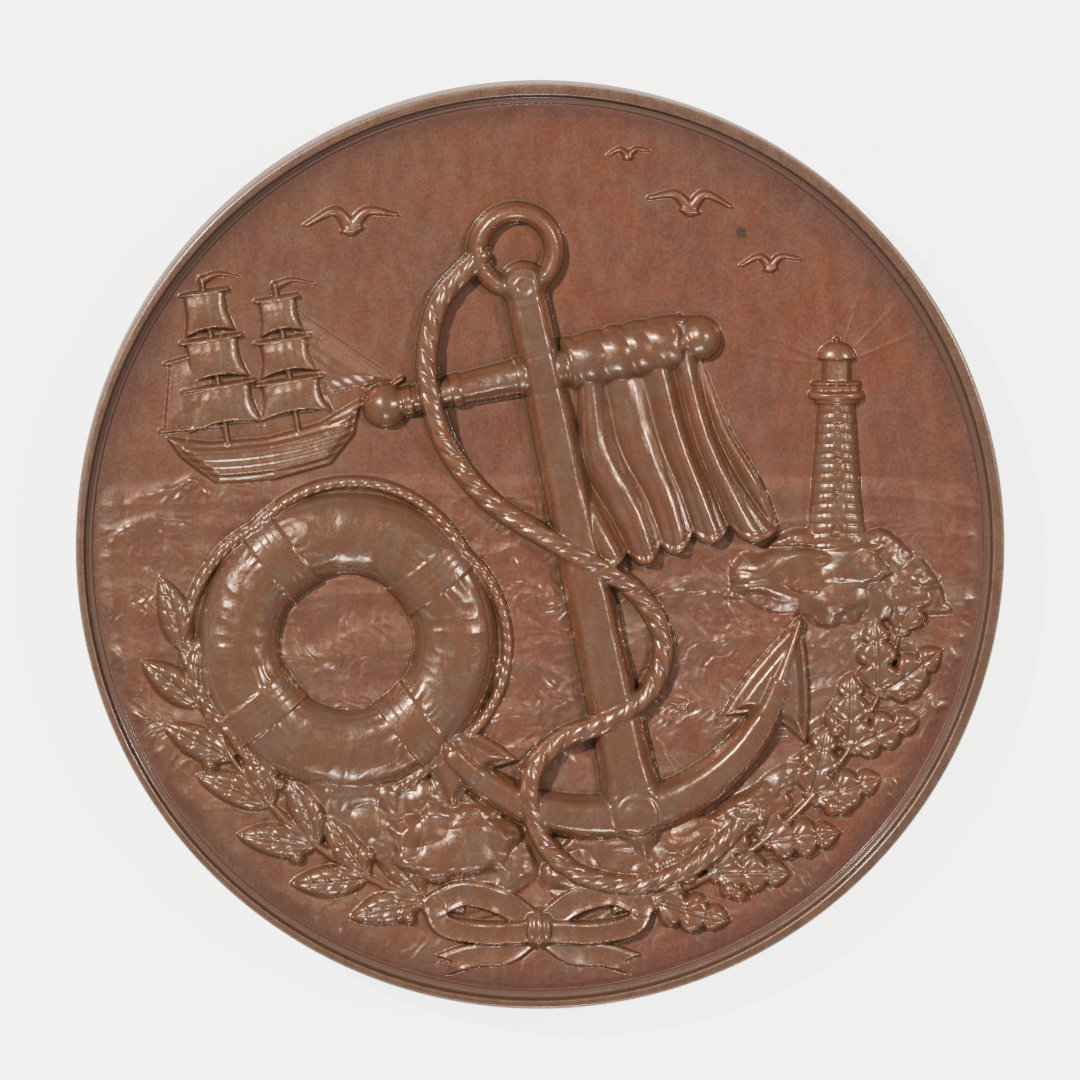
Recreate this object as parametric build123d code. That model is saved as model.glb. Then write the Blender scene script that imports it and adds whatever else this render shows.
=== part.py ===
from build123d import *
import math
import os
from typing import NamedTuple

# A bronze gallantry medal of the large kind that is kept in a case and not worn on a ribbon.
# It is struck from one blank, so rim, field and relief are one solid.
# The struck face shows rescue gear before a stormy sea: a fouled anchor hung with sailcloth,
# a lifebuoy, sprays of laurel and oak, a lighthouse on its rock, a ship in trouble and gulls.
#
# Frame: the medal lies on its back rim. The origin is the centre of that rim's plane,
# +Z comes up out of the struck face and +Y points to the top of the picture. Millimetres.

# Blank and rims
medal_diameter = 57.5
rim_thickness = 4.6
edge_round = 0.25
front_rim_land = 0.6
front_rim_wall = 0.5
rim_wall_draft = 0.12
cove_width = 0.5
cove_depth = 0.15
field_step = 0.12
field_dish = 0.3
back_rim_land = 1.1
back_rim_slope = 0.5
back_recess = 0.8
back_dish = 0.1

# Relief
relief_height = 1.9
relief_root = 0.6
rope_diameter = 1.25
rope_bend_share = 0.45
leaf_length = 5.2
leaf_width = 2.1
leaf_height = 0.95
stem_width = 1.1
stem_height = 0.68
ridge_inset_share = 0.04
ridge_width_share = 0.34

medal_radius = medal_diameter / 2
cove_radius = medal_radius - front_rim_land - rim_wall_draft
field_radius = cove_radius - cove_width
field_rim_level = rim_thickness - front_rim_wall - cove_depth - field_step
field_level = field_rim_level - field_dish


def across(share):
    """A length or place in the picture, given as a share of the field's radius."""
    return share * field_radius


def crest(share):
    """A height above the field, given as a share of the relief's full height."""
    return share * relief_height


def dish_ball(radius, depth):
    """Radius of the ball that cuts a dish of this rim radius and depth."""
    return (radius**2 + depth**2) / (2 * depth)


field_ball = dish_ball(field_radius, field_dish)


def seat(x, y):
    """Height of the dished field under a point of the picture."""
    return field_level + field_ball - math.sqrt(field_ball**2 - x * x - y * y)


# The blank: one turned profile, with the rims, the coved border and both dished fields


def dish_arc(radius, middle_level, depth, hollow_up):
    """The section of a shallow dish, from the axis out to its rim."""
    ball = dish_ball(radius, depth)
    reach = math.degrees(math.asin(radius / ball))
    if hollow_up:
        return CenterArc((0, middle_level + ball), ball, 270, reach)
    return CenterArc((0, middle_level - ball), ball, 90, -reach)


def struck_blank():
    top = rim_thickness
    land_edge = medal_radius - front_rim_land
    back_edge = medal_radius - back_rim_land
    back_field_radius = back_edge - back_rim_slope
    corner = edge_round * (1 - math.sqrt(0.5))
    cove_low = field_rim_level + field_step
    cove_middle = (cove_radius - cove_width * 0.4, cove_low + cove_depth * 0.25)
    front_dish = dish_arc(field_radius, field_level, field_dish, True)
    rear_dish = dish_arc(back_field_radius, back_recess + back_dish, back_dish, False)
    outline = [
        front_dish,
        Line(front_dish @ 1, (field_radius, cove_low)),
        ThreePointArc((field_radius, cove_low), cove_middle, (cove_radius, cove_low + cove_depth)),
        Line((cove_radius, cove_low + cove_depth), (land_edge, top)),
        Line((land_edge, top), (medal_radius - edge_round, top)),
        ThreePointArc(
            (medal_radius - edge_round, top),
            (medal_radius - corner, top - corner),
            (medal_radius, top - edge_round),
        ),
        Line((medal_radius, top - edge_round), (medal_radius, edge_round)),
        ThreePointArc(
            (medal_radius, edge_round),
            (medal_radius - corner, corner),
            (medal_radius - edge_round, 0),
        ),
        Line((medal_radius - edge_round, 0), (back_edge, 0)),
        Line((back_edge, 0), rear_dish @ 1),
        rear_dish,
        Line(rear_dish @ 0, front_dish @ 0),
    ]
    return revolve(Plane.XZ * make_face(outline), Axis.Z)


# Simple raised forms, each rooted in the metal below the field


def knob(x, y, radius, height):
    """A round domed boss: the cap of a ball on a short post."""
    cap = min(radius, height)
    ball = dish_ball(radius, cap)
    reach = math.degrees(math.asin(min(1.0, radius / ball)))
    dome = CenterArc((0, height - ball), ball, 90, -reach)
    outline = [
        dome,
        Line(dome @ 1, (radius, -relief_root)),
        Line((radius, -relief_root), (0, -relief_root)),
        Line((0, -relief_root), dome @ 0),
    ]
    return Pos(x, y, seat(x, y)) * revolve(Plane.XZ * make_face(outline), Axis.Z)


class Bead(NamedTuple):
    start: tuple
    end: tuple
    start_width: float
    end_width: float
    start_height: float
    end_height: float


def bead_form(bead):
    """A straight bar lying in the field, half oval in section, tapering from start to end."""
    start, end = (Vector(across(x), across(y), 0) for x, y in (bead.start, bead.end))
    run = end - start
    sections = []
    ends = ((start, bead.start_width, bead.start_height), (end, bead.end_width, bead.end_height))
    for place, width, height in ends:
        origin = (place.X, place.Y, seat(place.X, place.Y))
        plane = Plane(origin=origin, x_dir=(run.Y, -run.X, 0), z_dir=run)
        sections.append(plane * Ellipse(across(width) / 2, crest(height)))
    return loft(sections, ruled=True)


def arc_form(centre, mid_radius, width, height, start=0.0, sweep=360.0, level=None):
    """A bar bent to an arc in the field, half oval in section, seated at its middle or at a level."""
    x, y = centre
    if level is None:
        middle = math.radians(start + sweep / 2)
        level = seat(x + mid_radius * math.cos(middle), y + mid_radius * math.sin(middle))
    section = Plane.XZ * Pos(mid_radius, 0) * Ellipse(width / 2, height)
    bar = revolve(section, Axis.Z, revolution_arc=sweep)
    return Pos(x, y, level) * Rot(0, 0, start) * bar


class Plate(NamedTuple):
    points: tuple
    height: float
    slope: float


def plate_form(plate):
    """A flat-topped form: its outline at the root, drawn in towards its middle at the top."""
    points = [Vector(across(x), across(y), 0) for x, y in plate.points]
    middle = sum(points, Vector(0, 0, 0)) / len(points)
    level = seat(middle.X, middle.Y)
    inner = [middle + (point - middle) * (1 - plate.slope) for point in points]
    root = Wire.make_polygon([point + Vector(0, 0, level - relief_root) for point in points])
    top = Wire.make_polygon([point + Vector(0, 0, level + crest(plate.height)) for point in inner])
    return Solid.make_loft([root, top], ruled=True)


class Sliver(NamedTuple):
    x: float
    y: float
    heading: float
    length: float
    width: float
    bend: float
    height: float


def pointed_form(x, y, heading, length, width, bend, height):
    """A form pointed at both ends, straight like a leaf or bent like a wave, with a raised middle."""
    inset = length * ridge_inset_share
    rise = bend * (1 - (1 - 2 * ridge_inset_share) ** 2)
    half, ridge_half = width / 2, width * ridge_width_share / 2
    middle = length / 2
    root = make_face(
        [
            ThreePointArc((0, 0), (middle, bend + half), (length, 0)),
            ThreePointArc((length, 0), (middle, bend - half), (0, 0)),
        ]
    )
    ridge = make_face(
        [
            ThreePointArc((inset, rise), (middle, bend + ridge_half), (length - inset, rise)),
            ThreePointArc((length - inset, rise), (middle, bend - ridge_half), (inset, rise)),
        ]
    )
    body = loft([Pos(0, 0, -relief_root) * root, Pos(0, 0, height) * ridge], ruled=True)
    return Pos(x, y, seat(x, y)) * Rot(0, 0, heading) * body


def sliver_form(sliver):
    return pointed_form(
        across(sliver.x),
        across(sliver.y),
        sliver.heading,
        across(sliver.length),
        across(sliver.width),
        across(sliver.bend),
        crest(sliver.height),
    )


# The anchor leans a little to the left. Its own axes: u across it, v up its shank.


class Anchor(NamedTuple):
    crown_x: float = 0.22
    crown_y: float = -0.60
    crown_radius: float = 0.08
    crown_height: float = 0.94
    lean: float = 12.0
    shank_foot: float = -0.03
    shank_length: float = 1.22
    shank_width_low: float = 0.125
    shank_width_high: float = 0.088
    shank_height: float = 0.88
    arm_radius: float = 0.43
    arm_half_angle: float = 60.0
    arm_width: float = 0.10
    arm_height: float = 0.8
    fluke_length: float = 0.25
    fluke_width: float = 0.2
    fluke_height: float = 0.7
    fluke_slope: float = 0.3
    stock_height: float = 1.02
    stock_half_length: float = 0.36
    stock_width: float = 0.08
    stock_end_width: float = 0.052
    stock_crest: float = 0.76
    stock_end_crest: float = 0.62
    knob_radius: float = 0.048
    knob_crest: float = 0.72
    ring_radius: float = 0.086
    ring_width: float = 0.04
    ring_crest: float = 0.6


class FlukePoint(NamedTuple):
    along: float
    aside: float


anchor = Anchor()
fluke_outline = [
    FlukePoint(0.62, 0.0),
    FlukePoint(0.0, 0.36),
    FlukePoint(-0.38, 0.5),
    FlukePoint(-0.2, 0.0),
    FlukePoint(-0.38, -0.5),
    FlukePoint(0.0, -0.36),
]


def on_anchor(u, v):
    """A place in the anchor's own axes, as shares across the picture."""
    lean = math.radians(anchor.lean)
    x = anchor.crown_x + u * math.cos(lean) - v * math.sin(lean)
    y = anchor.crown_y + u * math.sin(lean) + v * math.cos(lean)
    return x, y


def on_anchor_mm(u, v):
    x, y = on_anchor(u, v)
    return across(x), across(y)


def fluke(side):
    """The pointed palm on one arm's end. Side is 1 for the right arm and -1 for the left."""
    angle = math.radians(anchor.arm_half_angle)
    end_u = side * anchor.arm_radius * math.sin(angle)
    end_v = anchor.arm_radius * (1 - math.cos(angle))
    along = (side * math.cos(angle), math.sin(angle))
    points = []
    for point in fluke_outline:
        ahead, off = point.along * anchor.fluke_length, point.aside * anchor.fluke_width
        points.append(
            on_anchor(end_u + ahead * along[0] - off * along[1], end_v + ahead * along[1] + off * along[0])
        )
    return plate_form(Plate(tuple(points), anchor.fluke_height, anchor.fluke_slope))


def anchor_forms():
    head = anchor.shank_length
    shank = Bead(
        on_anchor(0, anchor.shank_foot),
        on_anchor(0, head),
        anchor.shank_width_low,
        anchor.shank_width_high,
        anchor.shank_height,
        anchor.shank_height,
    )
    arms = arc_form(
        on_anchor_mm(0, anchor.arm_radius),
        across(anchor.arm_radius),
        across(anchor.arm_width),
        crest(anchor.arm_height),
        270 - anchor.arm_half_angle + anchor.lean,
        2 * anchor.arm_half_angle,
    )
    ring = arc_form(
        on_anchor_mm(0, head + anchor.ring_radius),
        across(anchor.ring_radius),
        across(anchor.ring_width),
        crest(anchor.ring_crest),
    )
    crown = knob(*on_anchor_mm(0, 0), across(anchor.crown_radius), crest(anchor.crown_height))
    eye = knob(*on_anchor_mm(0, head), across(anchor.knob_radius), crest(anchor.crown_height))
    forms = [bead_form(shank), arms, fluke(-1), fluke(1), ring, crown, eye]
    for side in (-1, 1):
        half_stock = Bead(
            on_anchor(0, anchor.stock_height),
            on_anchor(side * anchor.stock_half_length, anchor.stock_height),
            anchor.stock_width,
            anchor.stock_end_width,
            anchor.stock_crest,
            anchor.stock_end_crest,
        )
        end = on_anchor_mm(side * anchor.stock_half_length, anchor.stock_height)
        forms.append(bead_form(half_stock))
        forms.append(knob(*end, across(anchor.knob_radius), crest(anchor.knob_crest)))
    return forms


# Sailcloth hung over the right half of the stock: the roll over the bar, then the folds below it


cloth_roll = Bead(on_anchor(0.07, 1.02), on_anchor(0.32, 1.02), 0.11, 0.1, 0.86, 0.78)
cloth_ground = Plate(
    ((0.05, 0.42), (0.32, 0.46), (0.40, 0.28), (0.49, 0.06), (0.30, -0.02), (0.13, 0.0)), 0.34, 0.12
)
cloth_folds = [
    Bead((0.075, 0.42), (0.14, 0.01), 0.06, 0.06, 0.62, 0.44),
    Bead((0.14, 0.43), (0.22, -0.03), 0.05, 0.085, 0.56, 0.56),
    Bead((0.20, 0.44), (0.32, 0.0), 0.055, 0.07, 0.66, 0.46),
    Bead((0.255, 0.45), (0.405, -0.01), 0.05, 0.085, 0.58, 0.58),
    Bead((0.305, 0.46), (0.48, 0.08), 0.055, 0.06, 0.6, 0.44),
]


def cloth_forms():
    return [plate_form(cloth_ground), bead_form(cloth_roll)] + [bead_form(fold) for fold in cloth_folds]


# The lifebuoy: a ring with four bands


class Lifebuoy(NamedTuple):
    x: float = -0.43
    y: float = -0.21
    ring_radius: float = 0.245
    ring_width: float = 0.185
    ring_crest: float = 0.92
    band_width: float = 0.192
    band_crest: float = 1.0
    band_angle: float = 18.0
    band_turn: float = 38.0
    bands: int = 4


lifebuoy = Lifebuoy()


def lifebuoy_forms():
    centre = (across(lifebuoy.x), across(lifebuoy.y))
    level = seat(*centre)
    middle = across(lifebuoy.ring_radius)
    ring = arc_form(centre, middle, across(lifebuoy.ring_width), crest(lifebuoy.ring_crest), level=level)
    forms = [ring]
    width, height = across(lifebuoy.band_width), crest(lifebuoy.band_crest)
    for band in range(lifebuoy.bands):
        start = lifebuoy.band_turn + 360 * band / lifebuoy.bands - lifebuoy.band_angle / 2
        forms.append(arc_form(centre, middle, width, height, start, lifebuoy.band_angle, level))
    return forms


# The rope: made fast to the anchor's ring, fouled round the shank and over the left arm.
# Lift is the height of the rope's middle above the field, as a share of the relief's height.


class RopePoint(NamedTuple):
    x: float
    y: float
    lift: float


rope_route = [
    RopePoint(-0.13, 0.66, 0.30),
    RopePoint(-0.22, 0.56, 0.34),
    RopePoint(-0.25, 0.44, 0.44),
    RopePoint(-0.24, 0.33, 0.76),
    RopePoint(-0.20, 0.22, 0.44),
    RopePoint(-0.10, 0.10, 0.40),
    RopePoint(0.08, -0.01, 0.78),
    RopePoint(0.22, -0.10, 0.42),
    RopePoint(0.28, -0.21, 0.34),
    RopePoint(0.25, -0.32, 0.42),
    RopePoint(0.15, -0.39, 0.78),
    RopePoint(0.04, -0.44, 0.44),
    RopePoint(-0.02, -0.52, 0.74),
    RopePoint(0.0, -0.64, 0.46),
    RopePoint(0.08, -0.73, 0.38),
    RopePoint(0.22, -0.76, 0.36),
    RopePoint(0.36, -0.71, 0.36),
    RopePoint(0.47, -0.61, 0.34),
]


def rope():
    points = []
    for point in rope_route:
        x, y = across(point.x), across(point.y)
        points.append(Vector(x, y, seat(x, y) + crest(point.lift)))
    radii = []
    for before, here, after in zip(points, points[1:], points[2:]):
        turn = math.radians((here - before).get_angle(after - here))
        shorter = min((here - before).length, (after - here).length)
        radii.append(rope_bend_share * shorter / math.tan(turn / 2))
    path = FilletPolyline(*points, radius=radii)
    start = Plane(origin=path @ 0, z_dir=path % 0)
    return sweep(start * Circle(rope_diameter / 2), path=path)


# The two sprays: laurel up the left side and oak up the right, tied at the foot


class Spray(NamedTuple):
    start: float
    sweep: float
    pairs: int
    spread: float


spray_radius = 0.835
step_offset = 0.6
laurel = Spray(start=258.0, sweep=-62.0, pairs=6, spread=27.0)
oak = Spray(start=282.0, sweep=64.0, pairs=6, spread=30.0)


def spray_forms(spray):
    """A curved stem with a leaf to each side at every step, and one at its tip."""
    turn = math.copysign(1, spray.sweep)
    low = min(spray.start, spray.start + spray.sweep)
    forms = [arc_form((0, 0), across(spray_radius), stem_width, stem_height, low, abs(spray.sweep))]
    for step in range(spray.pairs + 1):
        angle = spray.start + spray.sweep * (step + step_offset) / (spray.pairs + step_offset)
        x = across(spray_radius) * math.cos(math.radians(angle))
        y = across(spray_radius) * math.sin(math.radians(angle))
        forward = angle + 90 * turn
        headings = [forward - spray.spread, forward + spray.spread]
        if step == spray.pairs:
            headings = [forward]
        for heading in headings:
            forms.append(pointed_form(x, y, heading, leaf_length, leaf_width, 0, leaf_height))
    return forms


# The ribbon that ties the sprays: two loops, two tails and the knot


class Knot(NamedTuple):
    x: float = 0.0
    y: float = -0.86
    radius: float = 0.045
    height: float = 0.7


knot = Knot()
ribbon_parts = [
    Sliver(-0.02, -0.855, 168, 0.24, 0.12, -0.01, 0.5),
    Sliver(0.02, -0.855, 12, 0.24, 0.12, 0.01, 0.5),
    Sliver(-0.02, -0.875, 196, 0.22, 0.07, 0.02, 0.36),
    Sliver(0.02, -0.875, -16, 0.22, 0.07, -0.02, 0.36),
]


def ribbon_forms():
    forms = [sliver_form(part) for part in ribbon_parts]
    forms.append(knob(across(knot.x), across(knot.y), across(knot.radius), crest(knot.height)))
    return forms


# The lighthouse on its rock, at the right


class Lighthouse(NamedTuple):
    x: float = 0.67
    foot: float = 0.0
    top: float = 0.34
    gallery: float = 0.365
    lantern_top: float = 0.425
    foot_width: float = 0.13
    top_width: float = 0.084
    gallery_width: float = 0.12
    lantern_width: float = 0.062
    dome_radius: float = 0.04
    foot_crest: float = 0.52
    top_crest: float = 0.44
    gallery_crest: float = 0.54
    lantern_crest: float = 0.36
    dome_crest: float = 0.42


light = Lighthouse()
lighthouse_rocks = [
    Plate(
        ((0.42, -0.10), (0.47, -0.01), (0.58, 0.03), (0.76, 0.04), (0.86, -0.03), (0.91, -0.13), (0.66, -0.17)),
        0.28,
        0.3,
    ),
    Plate(((0.52, -0.09), (0.58, 0.01), (0.74, 0.02), (0.80, -0.06), (0.68, -0.13)), 0.44, 0.3),
]


def lighthouse_forms():
    foot, top = (light.x, light.foot), (light.x, light.top)
    gallery, lantern_top = (light.x, light.gallery), (light.x, light.lantern_top)
    tower = Bead(foot, top, light.foot_width, light.top_width, light.foot_crest, light.top_crest)
    balcony = Bead(
        top, gallery, light.gallery_width, light.gallery_width, light.gallery_crest, light.gallery_crest
    )
    lantern = Bead(
        gallery, lantern_top, light.lantern_width, light.lantern_width, light.lantern_crest, light.lantern_crest
    )
    forms = [plate_form(rock) for rock in lighthouse_rocks]
    forms += [bead_form(tower), bead_form(balcony), bead_form(lantern)]
    dome_place = (across(light.x), across(light.lantern_top))
    forms.append(knob(*dome_place, across(light.dome_radius), crest(light.dome_crest)))
    return forms


# The ship in trouble, heeling, at the left. Its own axes: u along its deck, v up its masts.


class Ship(NamedTuple):
    x: float = -0.60
    y: float = 0.20
    heel: float = 9.0
    hull_crest: float = 0.36
    hull_slope: float = 0.2
    spar_width: float = 0.018
    spar_crest: float = 0.28
    sail_crest: float = 0.3
    sail_slope: float = 0.2
    sail_foot: float = 0.1
    sail_gap: float = 0.014
    sail_head_share: float = 0.8


class Mast(NamedTuple):
    foot: float
    height: float
    sails: int
    sail_half_width: float
    sail_taper: float


ship = Ship()
hull_outline = (
    (-0.20, 0.04), (-0.22, 0.085), (0.0, 0.055), (0.21, 0.1), (0.18, 0.01), (0.09, -0.035), (-0.12, -0.035)
)
masts = [
    Mast(foot=-0.09, height=0.40, sails=3, sail_half_width=0.084, sail_taper=0.015),
    Mast(foot=0.07, height=0.36, sails=2, sail_half_width=0.08, sail_taper=0.018),
]
bowsprit = ((0.19, 0.07), (0.31, 0.125))
deck = 0.02


def on_ship(u, v):
    heel = math.radians(ship.heel)
    x = ship.x + u * math.cos(heel) - v * math.sin(heel)
    y = ship.y + u * math.sin(heel) + v * math.cos(heel)
    return x, y


def spar(start, end):
    return bead_form(
        Bead(on_ship(*start), on_ship(*end), ship.spar_width, ship.spar_width, ship.spar_crest, ship.spar_crest)
    )


def ship_forms():
    hull = Plate(tuple(on_ship(u, v) for u, v in hull_outline), ship.hull_crest, ship.hull_slope)
    forms = [plate_form(hull), spar(*bowsprit)]
    for mast in masts:
        forms.append(spar((mast.foot, deck), (mast.foot, mast.height)))
        step = (mast.height - ship.sail_foot) / mast.sails
        for row in range(mast.sails):
            low = ship.sail_foot + step * row
            high = low + step - ship.sail_gap
            half = mast.sail_half_width - mast.sail_taper * row
            head = half * ship.sail_head_share
            corners = ((-half, low), (-head, high), (head, high), (half, low))
            sail = tuple(on_ship(mast.foot + u, v) for u, v in corners)
            forms.append(plate_form(Plate(sail, ship.sail_crest, ship.sail_slope)))
    return forms


# The sea and the shore: wave crests from the horizon forward, and rocks at the front


waves = [
    Sliver(-0.88, 0.13, -2, 0.56, 0.05, 0.035, 0.2),
    Sliver(-0.94, 0.00, 6, 0.26, 0.06, 0.04, 0.22),
    Sliver(-0.14, 0.13, -4, 0.19, 0.04, 0.03, 0.16),
    Sliver(-0.16, -0.02, 4, 0.20, 0.05, 0.035, 0.2),
    Sliver(0.30, -0.11, 4, 0.24, 0.05, 0.035, 0.22),
    Sliver(0.36, -0.22, -4, 0.34, 0.07, 0.05, 0.28),
    Sliver(0.62, -0.22, -8, 0.30, 0.07, 0.05, 0.28),
    Sliver(0.58, -0.36, 6, 0.28, 0.07, 0.05, 0.3),
    Sliver(-0.14, -0.30, 2, 0.22, 0.06, 0.04, 0.24),
    Sliver(-0.86, -0.34, 8, 0.20, 0.05, 0.04, 0.24),
]
shore_rocks = [
    Plate(
        ((-0.60, -0.56), (-0.50, -0.50), (-0.30, -0.55), (-0.20, -0.64), (-0.26, -0.74), (-0.48, -0.70)),
        0.36,
        0.3,
    ),
    Plate(((-0.30, -0.60), (-0.16, -0.55), (-0.04, -0.62), (-0.08, -0.74), (-0.24, -0.76)), 0.46, 0.35),
    Plate(
        ((0.06, -0.68), (0.16, -0.62), (0.34, -0.62), (0.44, -0.70), (0.30, -0.80), (0.12, -0.80)),
        0.26,
        0.3,
    ),
    Plate(((0.40, -0.62), (0.50, -0.52), (0.62, -0.50), (0.66, -0.58), (0.54, -0.68)), 0.34, 0.35),
]


def sea_forms():
    return [plate_form(rock) for rock in shore_rocks] + [sliver_form(wave) for wave in waves]


# Gulls: two bent wings each


class Gull(NamedTuple):
    x: float
    y: float
    span: float


wing_rise = 25
wing_width_share = 0.2
wing_bend_share = 0.14
wing_crest = 0.2
gulls = [Gull(-0.42, 0.72, 0.20), Gull(0.34, 0.76, 0.18), Gull(0.52, 0.63, 0.13)]


def gull_forms():
    forms = []
    for gull in gulls:
        wing = gull.span / 2
        width, bend = gull.span * wing_width_share, gull.span * wing_bend_share
        forms.append(sliver_form(Sliver(gull.x, gull.y, wing_rise, wing, width, bend, wing_crest)))
        forms.append(sliver_form(Sliver(gull.x, gull.y, 180 - wing_rise, wing, width, -bend, wing_crest)))
    return forms


def medal():
    """The blank with each group of the relief raised on it in turn, as one solid."""
    whole = struck_blank()
    for forms in (
        anchor_forms(),
        cloth_forms(),
        lifebuoy_forms(),
        ribbon_forms(),
        lighthouse_forms(),
        ship_forms(),
        sea_forms(),
        gull_forms(),
        spray_forms(laurel),
        spray_forms(oak),
        [rope()],
    ):
        whole = whole.fuse(*forms)
    return whole


os.makedirs("parts", exist_ok=True)
export_step(medal(), "parts/medal.step")
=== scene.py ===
# %% [markdown]
# # A struck bronze gallantry medal
#
# This file dresses one CAD part, a large cased medal, with a finely struck relief and a bronze
# finish. Everything here is in metres in the same frame: the medal lies on its back rim, +Z
# comes out of the struck face, +Y is the top of the picture.

# %% Load the frame
import math

import bmesh
import bpy
import numpy as np
from mathutils import Matrix, Vector


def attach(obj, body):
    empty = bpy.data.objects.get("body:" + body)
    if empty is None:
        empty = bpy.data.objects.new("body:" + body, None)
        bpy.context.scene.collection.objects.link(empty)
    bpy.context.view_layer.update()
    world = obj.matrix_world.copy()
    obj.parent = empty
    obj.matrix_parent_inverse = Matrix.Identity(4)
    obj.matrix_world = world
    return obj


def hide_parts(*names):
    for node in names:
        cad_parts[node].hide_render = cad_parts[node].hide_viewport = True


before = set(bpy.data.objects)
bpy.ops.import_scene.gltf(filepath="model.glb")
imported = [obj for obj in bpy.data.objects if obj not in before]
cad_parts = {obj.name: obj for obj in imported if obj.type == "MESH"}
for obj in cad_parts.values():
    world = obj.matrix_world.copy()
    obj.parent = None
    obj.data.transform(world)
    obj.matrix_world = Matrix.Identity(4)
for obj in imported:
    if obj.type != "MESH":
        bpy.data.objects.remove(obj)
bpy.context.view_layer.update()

# %% [markdown]
# ## The named sizes
#
# All sizes are those of the medal's own source, in millimetres.
# Places in the picture are shares of the field's radius, so that the picture grows with the medal.
# Heights in the picture are shares of the relief's full height above the field.

# %% Sizes of the medal, in millimetres
MEDAL_RADIUS = 28.75
RIM_TOP = 4.6
RIM_LAND = 0.6
RIM_WALL = 0.5
WALL_DRAFT = 0.12
COVE_WIDTH = 0.5
COVE_DEPTH = 0.15
FIELD_STEP = 0.12
FIELD_DISH = 0.3
RELIEF_HEIGHT = 1.9

COVE_RADIUS = MEDAL_RADIUS - RIM_LAND - WALL_DRAFT
FIELD_RADIUS = COVE_RADIUS - COVE_WIDTH
FIELD_RIM_LEVEL = RIM_TOP - RIM_WALL - COVE_DEPTH - FIELD_STEP
FIELD_LEVEL = FIELD_RIM_LEVEL - FIELD_DISH
print("field", round(FIELD_RADIUS, 2), "mm in radius, at", round(FIELD_LEVEL, 2), "mm")

# %% [markdown]
# ## The die
#
# The real relief was carved into a steel die and struck into the blank.
# It could be sculpted by hand on a fine mesh, but here it is carved in numbers:
# one square grid of heights, one value for every twentieth of a millimetre.
# Each motif raises its own part of the grid, as a carver works, from the far forms to the near ones.

# %% The grid of heights
CELL = 0.05
REACH = FIELD_RADIUS + 0.4
ticks = np.arange(-REACH, REACH + CELL / 2, CELL)
GRID = len(ticks)
grid_x, grid_y = np.meshgrid(ticks, ticks)
relief = np.zeros((GRID, GRID))
print("die of", GRID, "by", GRID, "points")


def across(share):
    """A length or place in the picture, from its share of the field's radius."""
    return np.asarray(share, dtype=float) * FIELD_RADIUS


def crest(share):
    """A height above the field, from its share of the relief's full height."""
    return share * RELIEF_HEIGHT


def window(low_x, high_x, low_y, high_y):
    """The part of the grid between two corners, in millimetres."""
    columns = np.clip(np.searchsorted(ticks, (low_x, high_x)), 0, GRID)
    rows = np.clip(np.searchsorted(ticks, (low_y, high_y)), 0, GRID)
    return slice(rows[0], rows[1]), slice(columns[0], columns[1])


def window_round(points, margin):
    """The part of the grid that holds some points, with a margin all round."""
    points = np.asarray(points)
    low, high = points.min(axis=0) - margin, points.max(axis=0) + margin
    return window(low[0], high[0], low[1], high[1])


def ease(value, low=0.0, high=1.0):
    """Goes smoothly from 0 to 1 as the value goes from low to high."""
    share = np.clip((value - low) / (high - low), 0, 1)
    return share * share * (3 - 2 * share)


def ridge(distance, width):
    """1 on a line, and down to 0 a little more than one width to each side of it."""
    return np.exp(-((distance / width) ** 2))


def soften(heights, spread):
    """Blurs a grid, as polishing does. Spread is in millimetres."""
    reach = int(np.ceil(3 * spread / CELL))
    taps = np.exp(-0.5 * (np.arange(-reach, reach + 1) * CELL / spread) ** 2)
    taps /= taps.sum()
    for axis in (0, 1):
        margins = [(0, 0), (0, 0)]
        margins[axis] = (reach, reach)
        padded = np.pad(heights, margins, mode="edge")
        size = heights.shape[axis]
        total = 0
        for number, tap in enumerate(taps):
            total = total + tap * np.take(padded, range(number, number + size), axis=axis)
        heights = total
    return heights


# %% [markdown]
# Two tools work on the grid. One raises a form and leaves a small fillet where it meets the rest,
# and it can be held to the inside of an outline.
# The other cuts the fine moat that a carver leaves round a high form, so that it stands out.
# That moat is the thin dark line round the big forms on the real medal.

# %% The carver's two tools
NOTHING = -1.0  # the height of a form where it raises nothing
FAR = 9.0  # a distance outside a form at which there is no moat
CRISP = 0.02  # the fillet of a thin, sharp form; 0.05 is that of a large one
FILLET_LIFT, MOAT_SHARE = 0.25, 0.45


def raise_form(place, form, fillet=0.05):
    """Raises a form, given as heights above the field, where it is higher than what is there."""
    below = relief[place]
    near = np.clip(1 - np.abs(form - below) / fillet, 0, 1)
    relief[place] = np.maximum(form, below) + FILLET_LIFT * fillet * near * near * (form > 0)


def raise_within(place, inside, form, fillet=0.05):
    """Raises a form only inside its outline."""
    raise_form(place, np.where(inside, form, NOTHING), fillet)


def cut_moat(place, outside, depth, width=0.19):
    """Cuts a moat where the distance outside a form is small."""
    relief[place] -= MOAT_SHARE * depth * ridge(outside, width) * (outside > -width)


print("moats take", MOAT_SHARE, "of the depth asked for")

# %% [markdown]
# Sea, rock, cloth and metal all need some irregular variation, and the same one each time.
# This noise is drawn once from a seeded table, and it is smooth between the table's points.

# %% Seeded noise
TABLE = 64
AWAY = 10 * TABLE + 0.5  # keeps the places in the table above zero


def smoother(share):
    return share**3 * (share * (share * 6 - 15) + 10)


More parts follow.
